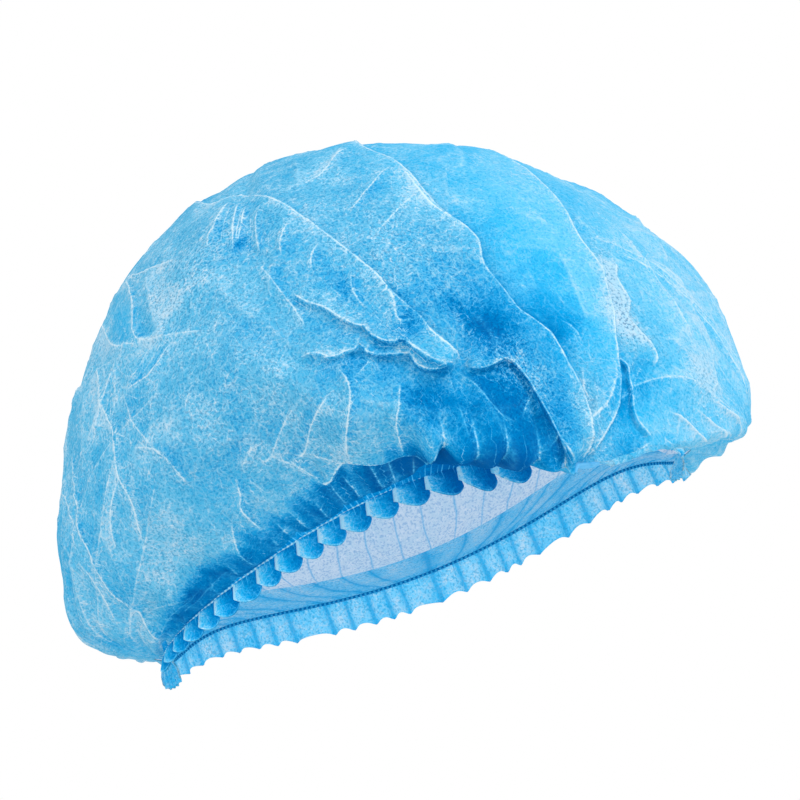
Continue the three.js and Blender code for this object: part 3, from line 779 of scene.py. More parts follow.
def oval(cloth, row):
    """1 in the middle of a turned oval, fading as the exponential of the squared distance."""
    turn = math.radians(row["turn"])
    x, y = cloth.along - row["along"], cloth.across - row["across"]
    u = (x * math.cos(turn) + y * math.sin(turn)) / row["long"]
    v = (y * math.cos(turn) - x * math.sin(turn)) / row["wide"]
    return np.exp(-(u * u + v * v))


def add_seam_band(cloth):
    """Deepens the band along the front seam, fading upward and towards its ends."""
    band = SEAM_BAND
    inside = between(cloth.along, band["from"], band["to"], band["ends"])
    top = band["top"] + waves(cloth.along, band["waves"])
    share = inside * ease((top - cloth.across) / band["soft"])
    # Painted shade of the underside, with the hem's extra layers, deepens the band.
    cloth.deep += band["deep"] * share
    cloth.grain += band["grain"] * share


def add_drapes(cloth):
    """Drapes between the places in DRAPES: each bulges as a half sine and hangs lower in its middle."""
    places = np.array(DRAPES, float)
    leaning_back = cloth.along - DRAPE_LEAN * (cloth.across - 12)
    cell = np.interp(leaning_back, places, np.arange(len(places)))
    window = between(leaning_back, places[0], places[-1], 2)
    bulge = np.abs(np.sin(np.pi * cell)) * window
    cloth.height += DRAPE_HEIGHT * bulge * between(cloth.across, 3, DRAPE_TOP, 4, 10)
    cloth.shift[..., 2] -= DRAPE_DROP * bulge * between(cloth.across, 1, DRAPE_DROP_TOP, 3, 8)
    gap = np.full(cloth.along.shape, FAR)
    for place in places[1:-1]:
        off = (leaning_back - place) * SEAM_SCALE
        gap = np.where(np.abs(off) < np.abs(gap), off, gap)
    shown = window * between(cloth.across, 2, DRAPE_GLOW_TOP, 3, 7)
    # Painted light beside each drape's left edge and a painted highlight line on it.
    cloth.deep -= DRAPE_HIGHLIGHT * np.exp(-np.maximum(gap, 0) / DRAPE_HIGHLIGHT_REACH) * (gap > 0) * shown
    cloth.mark(gap, DRAPE_GLOW * shown)


def add_facets(cloth, facets, strength):
    """Crumpled facets: cells round scattered sites. The cloth is raised along the cells' shared edges,
    where the two nearest sites are equally far, and each cell has a painted shading tone and each edge a
    painted highlight."""
    random = np.random.default_rng(facets["seed"])
    flat = cloth.points.reshape(-1, 3)
    area = cell_areas(cloth.points)
    share = (area / area.sum()).ravel()
    sites = flat[random.choice(len(flat), facets["cells"], replace=False, p=share)]
    tones = random.normal(0, 1, facets["cells"])
    warp = 0
    for _ in range(FACET_WARP_WAVES):
        wave = np.sin(flat @ random.normal(0, 1 / FACET_WARP_LENGTH, 3) + random.uniform(0, 6.3))
        warp = warp + wave[:, None] * random.normal(0, FACET_WARP, 3)
    places = (flat + warp).astype(np.float32)
    sites = sites.astype(np.float32)
    first, gap, pair = (np.zeros(len(flat), kind) for kind in (int, float, float))
    size = DISTANCES_AT_ONCE // facets["cells"] + 1
    for start in range(0, len(flat), size):
        part = places[start:start + size]
        squared = (part**2).sum(1)[:, None] + (sites**2).sum(1) - 2 * part @ sites.T
        order = np.argpartition(squared, 1, axis=1)[:, :2]
        two = np.sqrt(np.maximum(np.take_along_axis(squared, order, 1), 0))
        swap = two[:, 0] > two[:, 1]
        order[swap] = order[swap][:, ::-1]
        first[start:start + size] = order[:, 0]
        gap[start:start + size] = np.abs(two[:, 1] - two[:, 0])
        chance = np.sin(order.min(1) * CHANCE[0] + order.max(1) * CHANCE[1])
        pair[start:start + size] = np.modf(np.abs(chance) * CHANCE[2])[0]
    shown = ease((facets["shown"] - pair) / 0.25).reshape(cloth.along.shape)
    gap = gap.reshape(cloth.along.shape)
    cloth.height += strength * facets["height"] * (0.35 + 0.65 * shown) * np.exp(-gap / facets["soften"])
    cloth.deep += strength * facets["tone"] * tones[first].reshape(gap.shape) * ease(gap / 1.5)
    edge = strength * facets["glow"] * shown * np.exp(-gap / FACET_LINE)
    cloth.soft_glow = np.maximum(cloth.soft_glow, edge)


def add_swell(cloth, strength):
    """Slow swells: a sum of plane waves of random heading in space."""
    random = np.random.default_rng(5)
    for length in SWELL_LENGTHS:
        for _ in range(SWELL_WAVES):
            heading = unit(random.normal(0, 1, 3)) * 2 * np.pi / length
            phase = random.uniform(0, 2 * np.pi)
            wave = np.sin(cloth.points @ heading + phase) / math.sqrt(SWELL_WAVES)
            cloth.height += strength * SWELL_HEIGHT * wave * length / SWELL_LENGTHS[0]
            cloth.deep += SWELL_TONE * wave


def crown_rows():
    """Across angles of the net's rows, evenly spaced by length with the rims weighted more."""
    fine = np.linspace(0, 180, 2001)
    points = puffed(np.full_like(fine, 100.0), fine)
    weight = 1 + (RIM_SHARE - 1) * (1 - ease((np.minimum(fine, 180 - fine) - RIM_ZONE / 2) / RIM_ZONE))
    run = run_along(step_lengths(points) * (weight[1:] + weight[:-1]) / 2)
    return np.interp(np.linspace(0, run[-1], CROWN_ROWS + 1), run, fine)


def crown_cloth(settings):
    """The whole crown as one net: lines of the net by rows across, with every fold laid in it."""
    stretches = [
        np.linspace(panel["start"], panel["end"], panel["columns"] + 1)[1 if index else 0:]
        for index, panel in enumerate(PANELS)
    ]
    lines = np.concatenate(stretches)
    line, across = np.meshgrid(lines, crown_rows(), indexing="ij")
    cloth = Cloth(leaning(line, across), across)
    middles = [(panel["start"] + panel["end"]) / 2 for panel in PANELS]
    cloth.deep += np.interp(line, middles, [panel["deep"] for panel in PANELS])
    cloth.grain = np.interp(line, middles, [panel["grain"] for panel in PANELS])
    for patch in PATCHES:
        share = oval(cloth, patch)
        # The patches' painted shade and painted light, with their layers.
        cloth.deep += patch["deep"] * share
        cloth.grain += patch["grain"] * share
    for bulge in BULGES:
        cloth.height += bulge["out"] * oval(cloth, bulge)
    add_swell(cloth, settings.swell)
    for facets in FACETS:
        add_facets(cloth, facets, settings.crumple)
    for lip in LIPS:
        add_lip(cloth, lip)
    add_seam_band(cloth)
    add_drapes(cloth)
    families = [crease for family in END_CREASES for crease in end_creases(family)]
    for crease in (*families, *seam_creases(), *CREASES):
        add_crease(cloth, crease)
    add_gathers(cloth)
    return cloth


def add_gathers(cloth):
    """Gathers fan out from the welded ends as waves round each end, and puckers rise along the two edges
    as waves in step with the ruffle, both fading with distance. The gathers' ridges are paler and their hollows
    deeper, painted light and shade, and the puckers' pinches carry a painted highlight."""
    along = np.radians(cloth.along)
    for end in (-1, 1):
        away = OPENING_HALF_LENGTH * (np.pi / 2 + end * (along - np.pi / 2))
        fan = np.cos(np.radians(cloth.across) * GATHER_COUNT + 1.3 * np.sin(np.radians(cloth.across) * 7))
        reach = np.exp(-away / GATHER_REACH) * ease(away / 12)
        cloth.height += GATHER_HEIGHT * fan * reach
        cloth.deep -= GATHER_SHADING * fan * reach
    phase = 2 * np.pi * RUFFLE_COUNT * edge_run(cloth.along) / edge_run(180.0)
    low = np.radians(np.minimum(cloth.across, 180 - cloth.across)) * FRONT_EDGE["depth"] * 1.4
    spread = np.abs(np.sin(phase / 2)) ** 0.6
    reach = np.exp(-low / PUCKER_REACH) * ease(low / 1.5)
    cloth.height += PUCKER_HEIGHT * (spread - 0.5) * reach
    pinch = np.abs(np.cos(phase / 2)) ** 14
    cloth.soft_glow = np.maximum(cloth.soft_glow, PUCKER_GLOW * pinch * reach * ease(low))
    above = np.maximum(cloth.points[..., 2], 0)
    fade = np.exp(-above / LONG_PUCKER_REACH) * ease(above / LONG_PUCKER_START)
    wave = np.cos(2 * np.pi * edge_run(cloth.along) / LONG_PUCKER_PITCH)
    cloth.height += LONG_PUCKER_HEIGHT * wave * fade


# ---------------------------------------------------------------- Hems, elastics and gathered ends


def edge_stations(edge, count, start):
    """Places along an edge at even steps of run, from start degrees to as much before the other end: their
    along angles, points, unit steps, outward directions and share of the whole run."""
    across = edge["across"]
    total = edge_run(180.0, across)
    share = np.linspace(0, 1, count + 1)
    along = np.interp(share * total, edge_run(EDGE_ALONG, across), EDGE_ALONG)
    keep = (along >= start) & (along <= 180 - start)
    points = puffed(along, np.full_like(along, across))
    steps = unit(np.gradient(points, axis=0))
    outward = unit(np.stack([steps[:, 1], -steps[:, 0], np.zeros_like(along)], -1))
    if across:
        outward = -outward
    return along[keep], points[keep], steps[keep], outward[keep], share[keep]


def hem_cloth(hem):
    """A hem as a net: along the edge by down. Above the seam it follows the crown inside it. Below, each
    tongue swells out as a half sine whose crest lies towards its right and hangs as deep as a root of that
    sine; in the pointed hem the folds hang deepest and the cloth between them is bitten out."""
    edge = hem["edge"]
    along, points, steps, outward, share = edge_stations(edge, RUFFLE_COUNT * RUFFLE_SAMPLES, HEM_START)
    taper = ease(HEM_TAPER * np.sin(np.radians(along)))
    wander = waves(share, TONGUE_WANDER)
    if hem["pointed"]:
        cell = share * RUFFLE_COUNT + wander * taper
    else:
        cell = np.interp(along, TONGUES, range(len(TONGUES)))
    s = np.mod(cell, 1)
    uneven = 1 + TONGUE_UNEVEN * np.sin(np.floor(cell) * 2.4)
    tongue = np.sin(np.pi * s) if hem["pointed"] else np.sin(np.pi * s**TONGUE_SKEW)
    depth = hem["depth"] * mix(RUFFLE_AT_ENDS, 1, taper)
    if not hem["pointed"]:
        depth *= 1 + LONGER_SHARE * np.exp(-(((along - LONGEST_AT) / RUFFLE_CHANGE) ** 2))
        depth *= 1 - HIDDEN_SHARE * ease((along - HIDDEN_FROM) / RUFFLE_CHANGE)
    fullness = 1 - hem["bite"] * (tongue**0.8 if hem["pointed"] else 1 - tongue**TONGUE_ROUND)
    down = np.concatenate([np.linspace(-1, 0, 7)[:-1], np.linspace(0, 1, 17)])
    above = np.clip(-down, 0, 1) * hem["band"]
    below = np.clip(down, 0, 1)
    count = len(down)
    lift = above[None] * taper[:, None]
    angle = np.degrees(lift / np.maximum(58 * np.sin(np.radians(along)), 14)[:, None])
    across = angle if edge["across"] == 0 else 180 - angle
    cloth = Cloth(np.repeat(along[:, None], count, 1), across)
    cloth.held = np.ones_like(across)
    cloth.low = np.broadcast_to(np.where(down > 0, below * hem["depth"], above), across.shape)
    cloth.height = -HEM_INSET * np.minimum(lift / HEM_INSET_REACH, 1)
    crest = tongue if hem["pointed"] else np.sin(np.pi * s**TONGUE_CREST)
    swell = hem["swell"] * uneven[:, None] * below**0.7 * (crest[:, None] ** 0.8)
    lap = -hem["lap"] * below * ((1 - s) ** 4)[:, None]
    drop = depth[:, None] * fullness[:, None] * below
    cloth.shift = (outward[:, None] * swell[..., None] + steps[:, None] * lap[..., None]
                   - np.array([0, 0, 1.0]) * drop[..., None])
    pitch = edge_run(180.0, edge["across"]) / RUFFLE_COUNT
    near = np.minimum(s, 1 - s) * pitch
    cloth.deep = np.full(across.shape, hem["deep"]) + 0.04 * np.sin(np.floor(cell) * 4.1)[:, None]
    cloth.deep -= HEM_PALER * hem["deep"] * ease((along - HEM_PALER_FROM) / 20)[:, None]
    middle, reach = HEM_MIDDLE
    cloth.deep += hem["middle"] * np.exp(-(((along - middle) / reach) ** 2))[:, None]
    cloth.grain = np.full(across.shape, hem["grain"])
    hanging = ease((below - 0.02) / 0.2)
    edge_gap = (1 - below) * drop[:, -1:]
    if hem["pointed"]:
        cloth.line = np.repeat(near[:, None], count, 1)
        cloth.glow = np.full(across.shape, 0.8)
        cloth.deep += 0.20 * np.exp(-near / 1.2)[:, None] + 0.10 * np.exp(-edge_gap / 0.8) * (down > 0)
        cloth.deep += 0.16 * np.exp(-np.abs(down) * 5)
    else:
        off = (s - TONGUE_EDGE) * pitch
        tone = TONGUE_SHADING
        left = np.exp(-np.abs(off) / tone["reach"])[:, None]
        cloth.line = np.repeat(off[:, None], count, 1)
        cloth.glow = hanging * (s < 0.6)[:, None]
        # Painted light on each tongue's left edge and painted shade deepening to its right, with painted
        # highlight lines on the left edges and along the bottom edge; the cloth just below the seam is deeper.
        cloth.deep += (tone["rise"] * s[:, None] + tone["start"] - tone["edge"] * left) * hanging
        cloth.mark(edge_gap - 0.2 + FAR * (down < 0), 0.45 * hanging)
        cloth.deep += 0.10 * np.exp(-below * 4) * (down > 0)
    return cloth


def seam_cord(elastic):
    """A cord of round section along an edge, thicker at each stitch, closed by a point at both ends."""
    count = int(edge_run(180.0, elastic["edge"]["across"]) / STITCH_PITCH) * 6
    _, points, steps, outward, share = edge_stations(elastic["edge"], count, 1.0)
    run = share * edge_run(180.0, elastic["edge"]["across"])
    middle = points + outward * elastic["out"]
    upward = np.cross(steps, outward)
    bead = np.cos(2 * np.pi * run / STITCH_PITCH)
    radius = elastic["radius"] * (1 + STITCH_DEPTH * bead)
    angle = np.linspace(0, 2 * np.pi, SEAM_SIDES, endpoint=False)
    ring = outward[:, None] * np.cos(angle)[:, None] + upward[:, None] * np.sin(angle)[:, None]
    return middle[:, None] + ring * radius[:, None, None], middle, np.repeat(bead, SEAM_SIDES)


def tab_net(tab):
    """A gathered end as a net: pleats as a cosine wave across, narrow at the weld, wider and rounded
    below."""
    across, down = np.meshgrid(np.linspace(-1, 1, 61), np.linspace(0, 1, 31), indexing="ij")
    half = tab["half"] * (TAB_NECK + TAB_WIDENING * ease(down * 1.3))
    length = tab["length"] * (1 - TAB_CORNER * np.abs(across) ** 3)
    fold = TAB_FOLD * (0.5 + down) * np.cos(np.pi * TAB_PLEATS * across)
    x = tab["side"] * OPENING_HALF_LENGTH + tab["lean"] * down + across * half * 0.9
    y = fold - across * half * 0.35
    return np.stack([x, y, tab["top"] - length * down], -1)


# ---------------------------------------------------------------- Meshes


def crossed_steps(points):
    """At each point of a net, the cross product of its steps along and down the net."""
    return np.cross(np.gradient(points, axis=0), np.gradient(points, axis=1))


def cell_areas(points):
    return np.linalg.norm(crossed_steps(points), axis=-1)


def double_wall(points, normals, thickness):
    """Vertices and quads of a closed wall: the net, the same net set back by the thickness, and the rim."""
    rows, columns = points.shape[:2]
    outer = np.arange(rows * columns).reshape(rows, columns)
    inner = outer + rows * columns
    face = np.stack([outer[:-1, :-1], outer[1:, :-1], outer[1:, 1:], outer[:-1, 1:]], -1).reshape(-1, 4)
    back = np.stack([inner[:-1, :-1], inner[:-1, 1:], inner[1:, 1:], inner[1:, :-1]], -1).reshape(-1, 4)
    loop = np.concatenate([outer[0, :-1], outer[:-1, -1], outer[-1, :0:-1], outer[:0:-1, 0]])
    after = np.roll(loop, -1)
    rim = np.stack([loop, after, after + rows * columns, loop + rows * columns], -1)
    vertices = np.concatenate([points.reshape(-1, 3), (points - normals * thickness).reshape(-1, 3)])
    return vertices, np.concatenate([face, rim, back]), len(face) + len(rim)


def set_attribute(mesh, name, values):
    layer = mesh.attributes.new(name, "FLOAT", "POINT")
    layer.data.foreach_set("value", np.ascontiguousarray(values, np.float32))


def tube(rings, ends):
    """Vertices, quads and end triangles of a closed tube of rings, each end drawn in to its middle."""
    count, sides = rings.shape[:2]
    index = np.arange(count * sides).reshape(count, sides)
    after = np.roll(index, -1, axis=1)
    quads = np.stack([index[:-1], after[:-1], after[1:], index[1:]], -1).reshape(-1, 4)
    first, last = count * sides, count * sides + 1
    caps = [np.stack([after[0], index[0], np.full(sides, first)], -1),
            np.stack([index[-1], after[-1], np.full(sides, last)], -1)]
    return np.concatenate([rings.reshape(-1, 3), ends[[0, -1]]]), quads, np.concatenate(caps)


def make_object(name, vertices, faces, materials, inner_from=None, normals=None, attributes=None, caps=None):
    """A mesh object from arrays in millimetres. Faces from inner_from on take the second material, and
    caps are triangles that come after the faces."""
    mesh = bpy.data.meshes.new(name)
    faces = np.ascontiguousarray(faces, np.int32)
    caps = np.zeros((0, 3), np.int32) if caps is None else np.ascontiguousarray(caps, np.int32)
    count = len(faces) + len(caps)
    corners = np.concatenate([faces.ravel(), caps.ravel()])
    starts = np.concatenate([np.arange(len(faces)) * 4, faces.size + np.arange(len(caps)) * 3]).astype(np.int32)
    mesh.vertices.add(len(vertices))
    mesh.vertices.foreach_set("co", np.ascontiguousarray(vertices * MM, np.float32).ravel())
    mesh.loops.add(len(corners))
    mesh.loops.foreach_set("vertex_index", corners)
    mesh.polygons.add(count)
    mesh.polygons.foreach_set("loop_start", starts)
    for material in materials:
        mesh.materials.append(material)
    if inner_from is not None:
        index = np.zeros(count, np.int32)
        index[inner_from:] = 1
        mesh.polygons.foreach_set("material_index", index)
    mesh.update(calc_edges=True)
    mesh.polygons.foreach_set("use_smooth", np.ones(count, bool))
    for key, values in (attributes or {}).items():
        set_attribute(mesh, key, values)
    if normals is not None:
        mesh.normals_split_custom_set_from_vertices(normals.tolist())
    mesh.validate()
    piece = bpy.data.objects.new(name, mesh)
    bpy.context.scene.collection.objects.link(piece)
    return piece


def make_cloth(name, net, normals, thickness, materials, attributes):
    """A closed wall of cloth on a net. Its inside takes the second material where there are two."""
    vertices, faces, inner = double_wall(net, normals, thickness)
    both = np.concatenate([normals.reshape(-1, 3), -normals.reshape(-1, 3)])
    inner_from = inner if len(materials) > 1 else None
    return make_object(name, vertices, faces, materials, inner_from, both, attributes)


def cloth_attributes(cloth, part=slice(None)):
    """The cloth's colour values at each vertex of its double wall."""
    values = {"deep": cloth.deep, "grain": cloth.grain, "line": cloth.line, "glow": cloth.glow,
              "soft": cloth.soft_glow, "along": cloth.along, "across": cloth.across, "run": cloth.run,
              "low": cloth.low}
    return {key: np.tile(value[part].ravel(), 2) for key, value in values.items()}


# ---------------------------------------------------------------- Materials


EULER = 2.718


class Value:
    """A shader value that adds Math nodes when it is used in an expression."""

    def __init__(self, graph, socket):
        self.graph, self.socket = graph, socket

    def math(self, operation, *values):
        return self.graph.node("Math", {"operation": operation}, *values)

    def __add__(self, other):
        return self.math("ADD", self, other)

    def __radd__(self, other):
        return self.math("ADD", other, self)

    def __sub__(self, other):
        return self.math("SUBTRACT", self, other)

    def __rsub__(self, other):
        return self.math("SUBTRACT", other, self)

    def __mul__(self, other):
        return self.math("MULTIPLY", self, other)

    def __rmul__(self, other):
        return self.math("MULTIPLY", other, self)

    def __truediv__(self, other):
        return self.math("DIVIDE", self, other)

    def __abs__(self):
        return self.math("ABSOLUTE", self)

    def exponential(self):
        return self.math("POWER", EULER, self)

    def clipped(self):
        return self.graph.node("Clamp", {}, self)

    def band(self, low, high):
        """0 below low and 1 above high, smoothly between."""
        return self.graph.node("MapRange", {"interpolation_type": "SMOOTHSTEP"}, self, low, high)


class Graph:
    """A material's nodes."""

    def __init__(self, name):
        self.material = bpy.data.materials.new(name)
        self.material.use_nodes = True
        self.tree = self.material.node_tree
        self.tree.nodes.clear()

    def node(self, kind, settings, *values, output=0, **named):
        """A node of a kind with its settings, such as a Math node's operation or a ramp's stops, set first,
        and then its sockets by order or by name. Returns one output."""
        node = self.tree.nodes.new("ShaderNode" + kind)
        for key, value in settings.items():
            if key == "stops":
                ramp = node.color_ramp
                while len(ramp.elements) < len(value):
                    ramp.elements.new(1.0)
                for element, (place, colour) in zip(ramp.elements, value):
                    element.position, element.color = place, colour
            else:
                setattr(node, key, value)
        sockets = [(node.inputs[index], value) for index, value in enumerate(values)]
        sockets += [(node.inputs[key.replace("_", " ")], value) for key, value in named.items()]
        for socket, value in sockets:
            if isinstance(value, Value):
                self.tree.links.new(value.socket, socket)
            elif value is not None:
                socket.default_value = value
        return Value(self, node.outputs[output])

    def attribute(self, name):
        return self.node("Attribute", {"attribute_name": name}, output="Fac")

    def noise(self, where, scale, detail=2.0, roughness=0.5, distortion=0.0):
        return self.node("TexNoise", {}, where, None, scale, detail, roughness, None, None, None, distortion)

    def mix(self, share, first, second):
        node = self.tree.nodes.new("ShaderNodeMix")
        node.data_type = "RGBA"
        for index, value in ((0, share), (6, first), (7, second)):
            if isinstance(value, Value):
                self.tree.links.new(value.socket, node.inputs[index])
            else:
                node.inputs[index].default_value = value
        return Value(self, node.outputs[2])

    def cloth(self, colour, roughness, glow, **named):
        """Ends in a matt surface with a painted glow: it emits glow times its own colour, in place of light
        that comes through the cloth.
        """
        return self.finish(self.node(
            "BsdfPrincipled", {}, Base_Color=colour, Roughness=roughness, Specular_IOR_Level=0.0,
            Emission_Color=colour, Emission_Strength=glow, **named))

    def finish(self, shader):
        output = self.tree.nodes.new("ShaderNodeOutputMaterial")
        self.tree.links.new(shader.socket, output.inputs["Surface"])
        return self.material


# Layers of threads: the turn of each layer's threads about the three axes, in degrees.
THREAD_TURNS = ((0, 24, 0), (0, 78, 20), (0, -38, 0), (50, 0, 80))
THREAD_LENGTH = 0.0080
THREAD_WIDTH = 0.0030
THREAD_SPREAD = 0.034
SPECK_SCALE = 1050.0
CURL_SCALE = 480.0
CURL_SPREAD = 0.035


def fibre_web(graph, where):
    """Straight threads laid in several directions, as the places where a noise drawn out along each
    direction crosses its middle value, with dark specks and longer curly fibres between them."""
    threads = 0.0
    for turn in THREAD_TURNS:
        angles = tuple(math.radians(angle) for angle in turn)
        drawn = graph.node("Mapping", {"vector_type": "TEXTURE"}, where, None, angles,
                           (THREAD_LENGTH, THREAD_WIDTH, THREAD_WIDTH))
        layer = 1 - (abs(graph.noise(drawn, 1.0, 1.0, 0.5) - 0.5) / THREAD_SPREAD).clipped()
        threads = layer + threads
    specks = graph.noise(where, SPECK_SCALE, 1.0, 0.5).band(0.49, 0.66)
    curls = 1 - (abs(graph.noise(where, CURL_SCALE, 2.0, 0.55, 1.2) - 0.5) / CURL_SPREAD).clipped()
    return threads * 0.9, specks, curls


CLOTH_STOPS = (
    (0.00, srgb(168, 218, 245)),
    (0.20, srgb(112, 206, 247)),
    (0.40, srgb(54, 188, 243)),
    (0.60, srgb(4, 160, 226)),
    (0.80, srgb(0, 128, 198)),
    (1.00, srgb(0, 96, 170)),
)
PALE_THREAD = srgb(206, 230, 244)
DARK_SPECK = srgb(20, 116, 168)
# Where one or two layers lie and the fibres show, the blue is greyer: that blue, the grain from which
# this starts and the depth at which it is strongest.
THIN_GREY = srgb(94, 172, 208)
GREY_FROM = 0.33
GREY_DEPTH = 0.36
CLOUD_SCALE = 34.0
PATCH_SCALE = 90.0
BREAK_SCALE = 380.0
# Streaks are drawn out down the cloth as painted shading of fine folds near the rim: their steps along it and
# down it, and how high they reach.
STREAK_STEPS = (0.45, 0.045)
STREAK_TOP = 30.0
LINE_WIDTH = 0.32
HALO_WIDTH = 1.4
# Slivers: their pitch, greatest and least height and how far they stray from even steps, and their half
# width at the foot with what is lost of it up to the tip, both as shares of the pitch.
SLIVER_PITCH = 2.2
SLIVER_HEIGHT = 6.0
SLIVER_SHORTEST = 0.8
SLIVER_STRAY = 0.4
SLIVER_FOOT = 0.16
SLIVER_TAPER = 0.12
SLIVER_STRENGTH = 0.75
# Colours of the painted highlights on creases: pale over thin cloth and blue over deep cloth, cyan on the front
# ruffle, and dark blue for the pointed hem's fold lines.
PALE_LINE = srgb(214, 240, 252)
DEEP_LINE = srgb(96, 200, 242)
HEM_LINE = srgb(160, 224, 250)
BLUE_LINE = srgb(24, 132, 196)


def slivers(graph):
    """Short fine creases that stand up from the seam at even steps, each with a height of its own, drawn only
    as painted highlights.
    """
    place = graph.attribute("run") / SLIVER_PITCH
    cell = graph.node("Math", {"operation": "FLOOR"}, place)
    chance = graph.node("TexWhiteNoise", {"noise_dimensions": "1D"}, W=cell)
    off = abs(graph.node("Math", {"operation": "FRACT"}, place) - 0.5 + (chance - 0.5) * SLIVER_STRAY)
    low = graph.attribute("low")
    tall = chance * SLIVER_HEIGHT + SLIVER_SHORTEST
    narrow = 1 - (off / (SLIVER_FOOT - low / tall * SLIVER_TAPER)).clipped()
    return narrow * (1 - (low / tall).clipped()) * SLIVER_STRENGTH


def cloth_material(name, glow, line_colour=PALE_LINE, line_lift=0.40, greyness=0.0):
    """Nonwoven cloth: the blue deepens with the layers and with painted shade, pale threads and dark specks lie
    over it, and
    creases are drawn as painted highlights: broken lines with a soft halo."""
    graph = Graph(name)
    where = graph.node("TexCoord", {}, output="Object")
    threads, specks, curls = fibre_web(graph, where)
    clouds = graph.noise(where, CLOUD_SCALE, 3.0, 0.55) - 0.5
    broken = graph.noise(where, BREAK_SCALE, 2.0, 0.6).band(0.36, 0.62)
    # Painted highlights: a sharp core and a soft halo on each crease, the soft highlights of facets and
    # puckers, and the slivers.
    off = abs(graph.attribute("line"))
    core = (off * off * (-1 / LINE_WIDTH**2)).exponential()
    halo = (off * (-1 / HALO_WIDTH)).exponential() * (threads + curls)
    crease = (core * (0.45 + broken * 0.55) + halo * 0.30) * graph.attribute("glow")
    bright = (crease + graph.attribute("soft") * (0.3 + broken * 0.7) + slivers(graph)).clipped()
    grain = graph.attribute("grain")
    patchy = graph.noise(where, PATCH_SCALE, 2.0, 0.6).band(0.30, 0.70)
    low = graph.attribute("low")
    drawn = graph.node("CombineXYZ", {}, graph.attribute("run") * STREAK_STEPS[0], low * STREAK_STEPS[1])
    near_rim = 1 - (low / STREAK_TOP).clipped()
    # Painted shading of fine folds, fading up from the rim.
    streaks = (graph.noise(drawn, 1.0, 3.0, 0.65, 0.4) - 0.5) * near_rim
    fibres = threads * (0.03 + grain * 0.07) + curls * patchy * grain * 0.10 - specks * (0.03 + grain * 0.10)
    deep = graph.attribute("deep") + clouds * 0.14 + streaks * 0.09
    # The painted highlights also pale the blue, by line_lift.
    deep = deep - bright * line_lift - fibres - (patchy - 0.5) * grain * 0.10
    base = graph.node("ValToRGB", {"stops": CLOTH_STOPS}, deep.clipped())
    thin = (1 - deep * 1.3).clipped()
    middling = (1 - abs(deep - GREY_DEPTH) * 2.4).clipped()
    grey = ((grain.clipped() - GREY_FROM) * middling * greyness).clipped()
    base = graph.mix(grey, base, THIN_GREY)
    paler = threads * (0.05 + grain * 0.20) * (0.6 + patchy * 0.6) + curls * patchy * (0.08 + grain * 0.32)
    colour = graph.mix((paler * thin).clipped(), base, PALE_THREAD)
    darker = specks * (0.02 + grain * 0.48) * (0.35 + thin * 0.4)
    colour = graph.mix(darker.clipped(), colour, DARK_SPECK)
    # The painted highlights are mixed in, pale over thin cloth and blue over deep.
    tint = graph.mix(deep.band(0.2, 0.7), line_colour, DEEP_LINE)
    colour = graph.mix(bright * (0.80 - deep * 0.40), colour, tint)
    relief = graph.node("Bump", {}, 0.35, 0.0004, None, threads + curls - specks * 0.6)
    return graph.cloth(colour, 0.62, glow, Normal=relief)


# Colours of the inside: pale greys painted as if lit from behind, and a painted shaded blue.
LINING = {"pale": srgb(190, 216, 234), "paler": srgb(206, 222, 236), "thread": srgb(226, 234, 244),
          "speck": srgb(120, 172, 214), "pleat": srgb(84, 178, 226), "shaded": srgb(70, 164, 214)}
# The lining's pleats: how far they lean, how far they wander, and their pitch and width, in degrees.
LINING_LEAN = 0.22
LINING_WANDER = 5.0
LINING_PITCH = 3.2
LINING_WIDTH = 0.34


def lining_material(name, settings):
    """The cloth seen from inside, painted as if lit from behind: a pale grey lavender copy of the cloth with
    fine specks, crossed by the thin blue lines of its pleats, with painted shade and a painted glow."""
    graph = Graph(name)
    where = graph.node("TexCoord", {}, output="Object")
    threads, specks, curls = fibre_web(graph, where)
    clouds = graph.noise(where, 60.0, 2.0, 0.6)
    along = graph.attribute("along") + graph.attribute("across") * LINING_LEAN
    wander = (graph.noise(where, 26.0, 2.0, 0.5) - 0.5) * LINING_WANDER
    fold = graph.node("Math", {"operation": "PINGPONG"}, along + wander, LINING_PITCH)
    pleat = 1 - (fold / LINING_WIDTH).clipped()
    base = graph.mix(clouds.band(0.3, 0.7), LINING["pale"], LINING["paler"])
    colour = graph.mix((threads * 0.35 + curls * 0.35).clipped(), base, LINING["thread"])
    colour = graph.mix((specks * 0.55).clipped(), colour, LINING["speck"])
    colour = graph.mix(pleat * 0.7, colour, LINING["pleat"])
    # Painted shade near the front edge and towards the right end.
    front = 1 - graph.attribute("across").band(20, 44)
    right = graph.attribute("along").band(146, 164)
    colour = graph.mix((front * 0.9 + right * 0.7).clipped(), colour, LINING["shaded"])
    return graph.cloth(colour, 0.7, settings.lining_glow)


# The colours of the cord between its stitches and on them, plain and where it is seen through the hem.
CORD = (srgb(104, 194, 234), srgb(170, 222, 246))
CORD_THROUGH_HEM = (srgb(0, 104, 172), srgb(44, 154, 212))
# The cord's painted glow: emission in its own colour.
CORD_GLOW = 0.5


def elastic_material(name, dark):
    """The seam: pale stitches on the cord, or dark ones where the cord is seen through the hem."""
    graph = Graph(name)
    where = graph.node("TexCoord", {}, output="Object")
    bead = graph.attribute("bead") * 0.5 + graph.noise(where, 300.0) * 0.6
    colour = graph.mix(bead.band(0.1, 0.6), *(CORD_THROUGH_HEM if dark else CORD))
    return graph.cloth(colour, 0.6, CORD_GLOW)


FLOOR_TONES = ((0.86, 0.87, 0.88, 1), (0.92, 0.92, 0.93, 1))


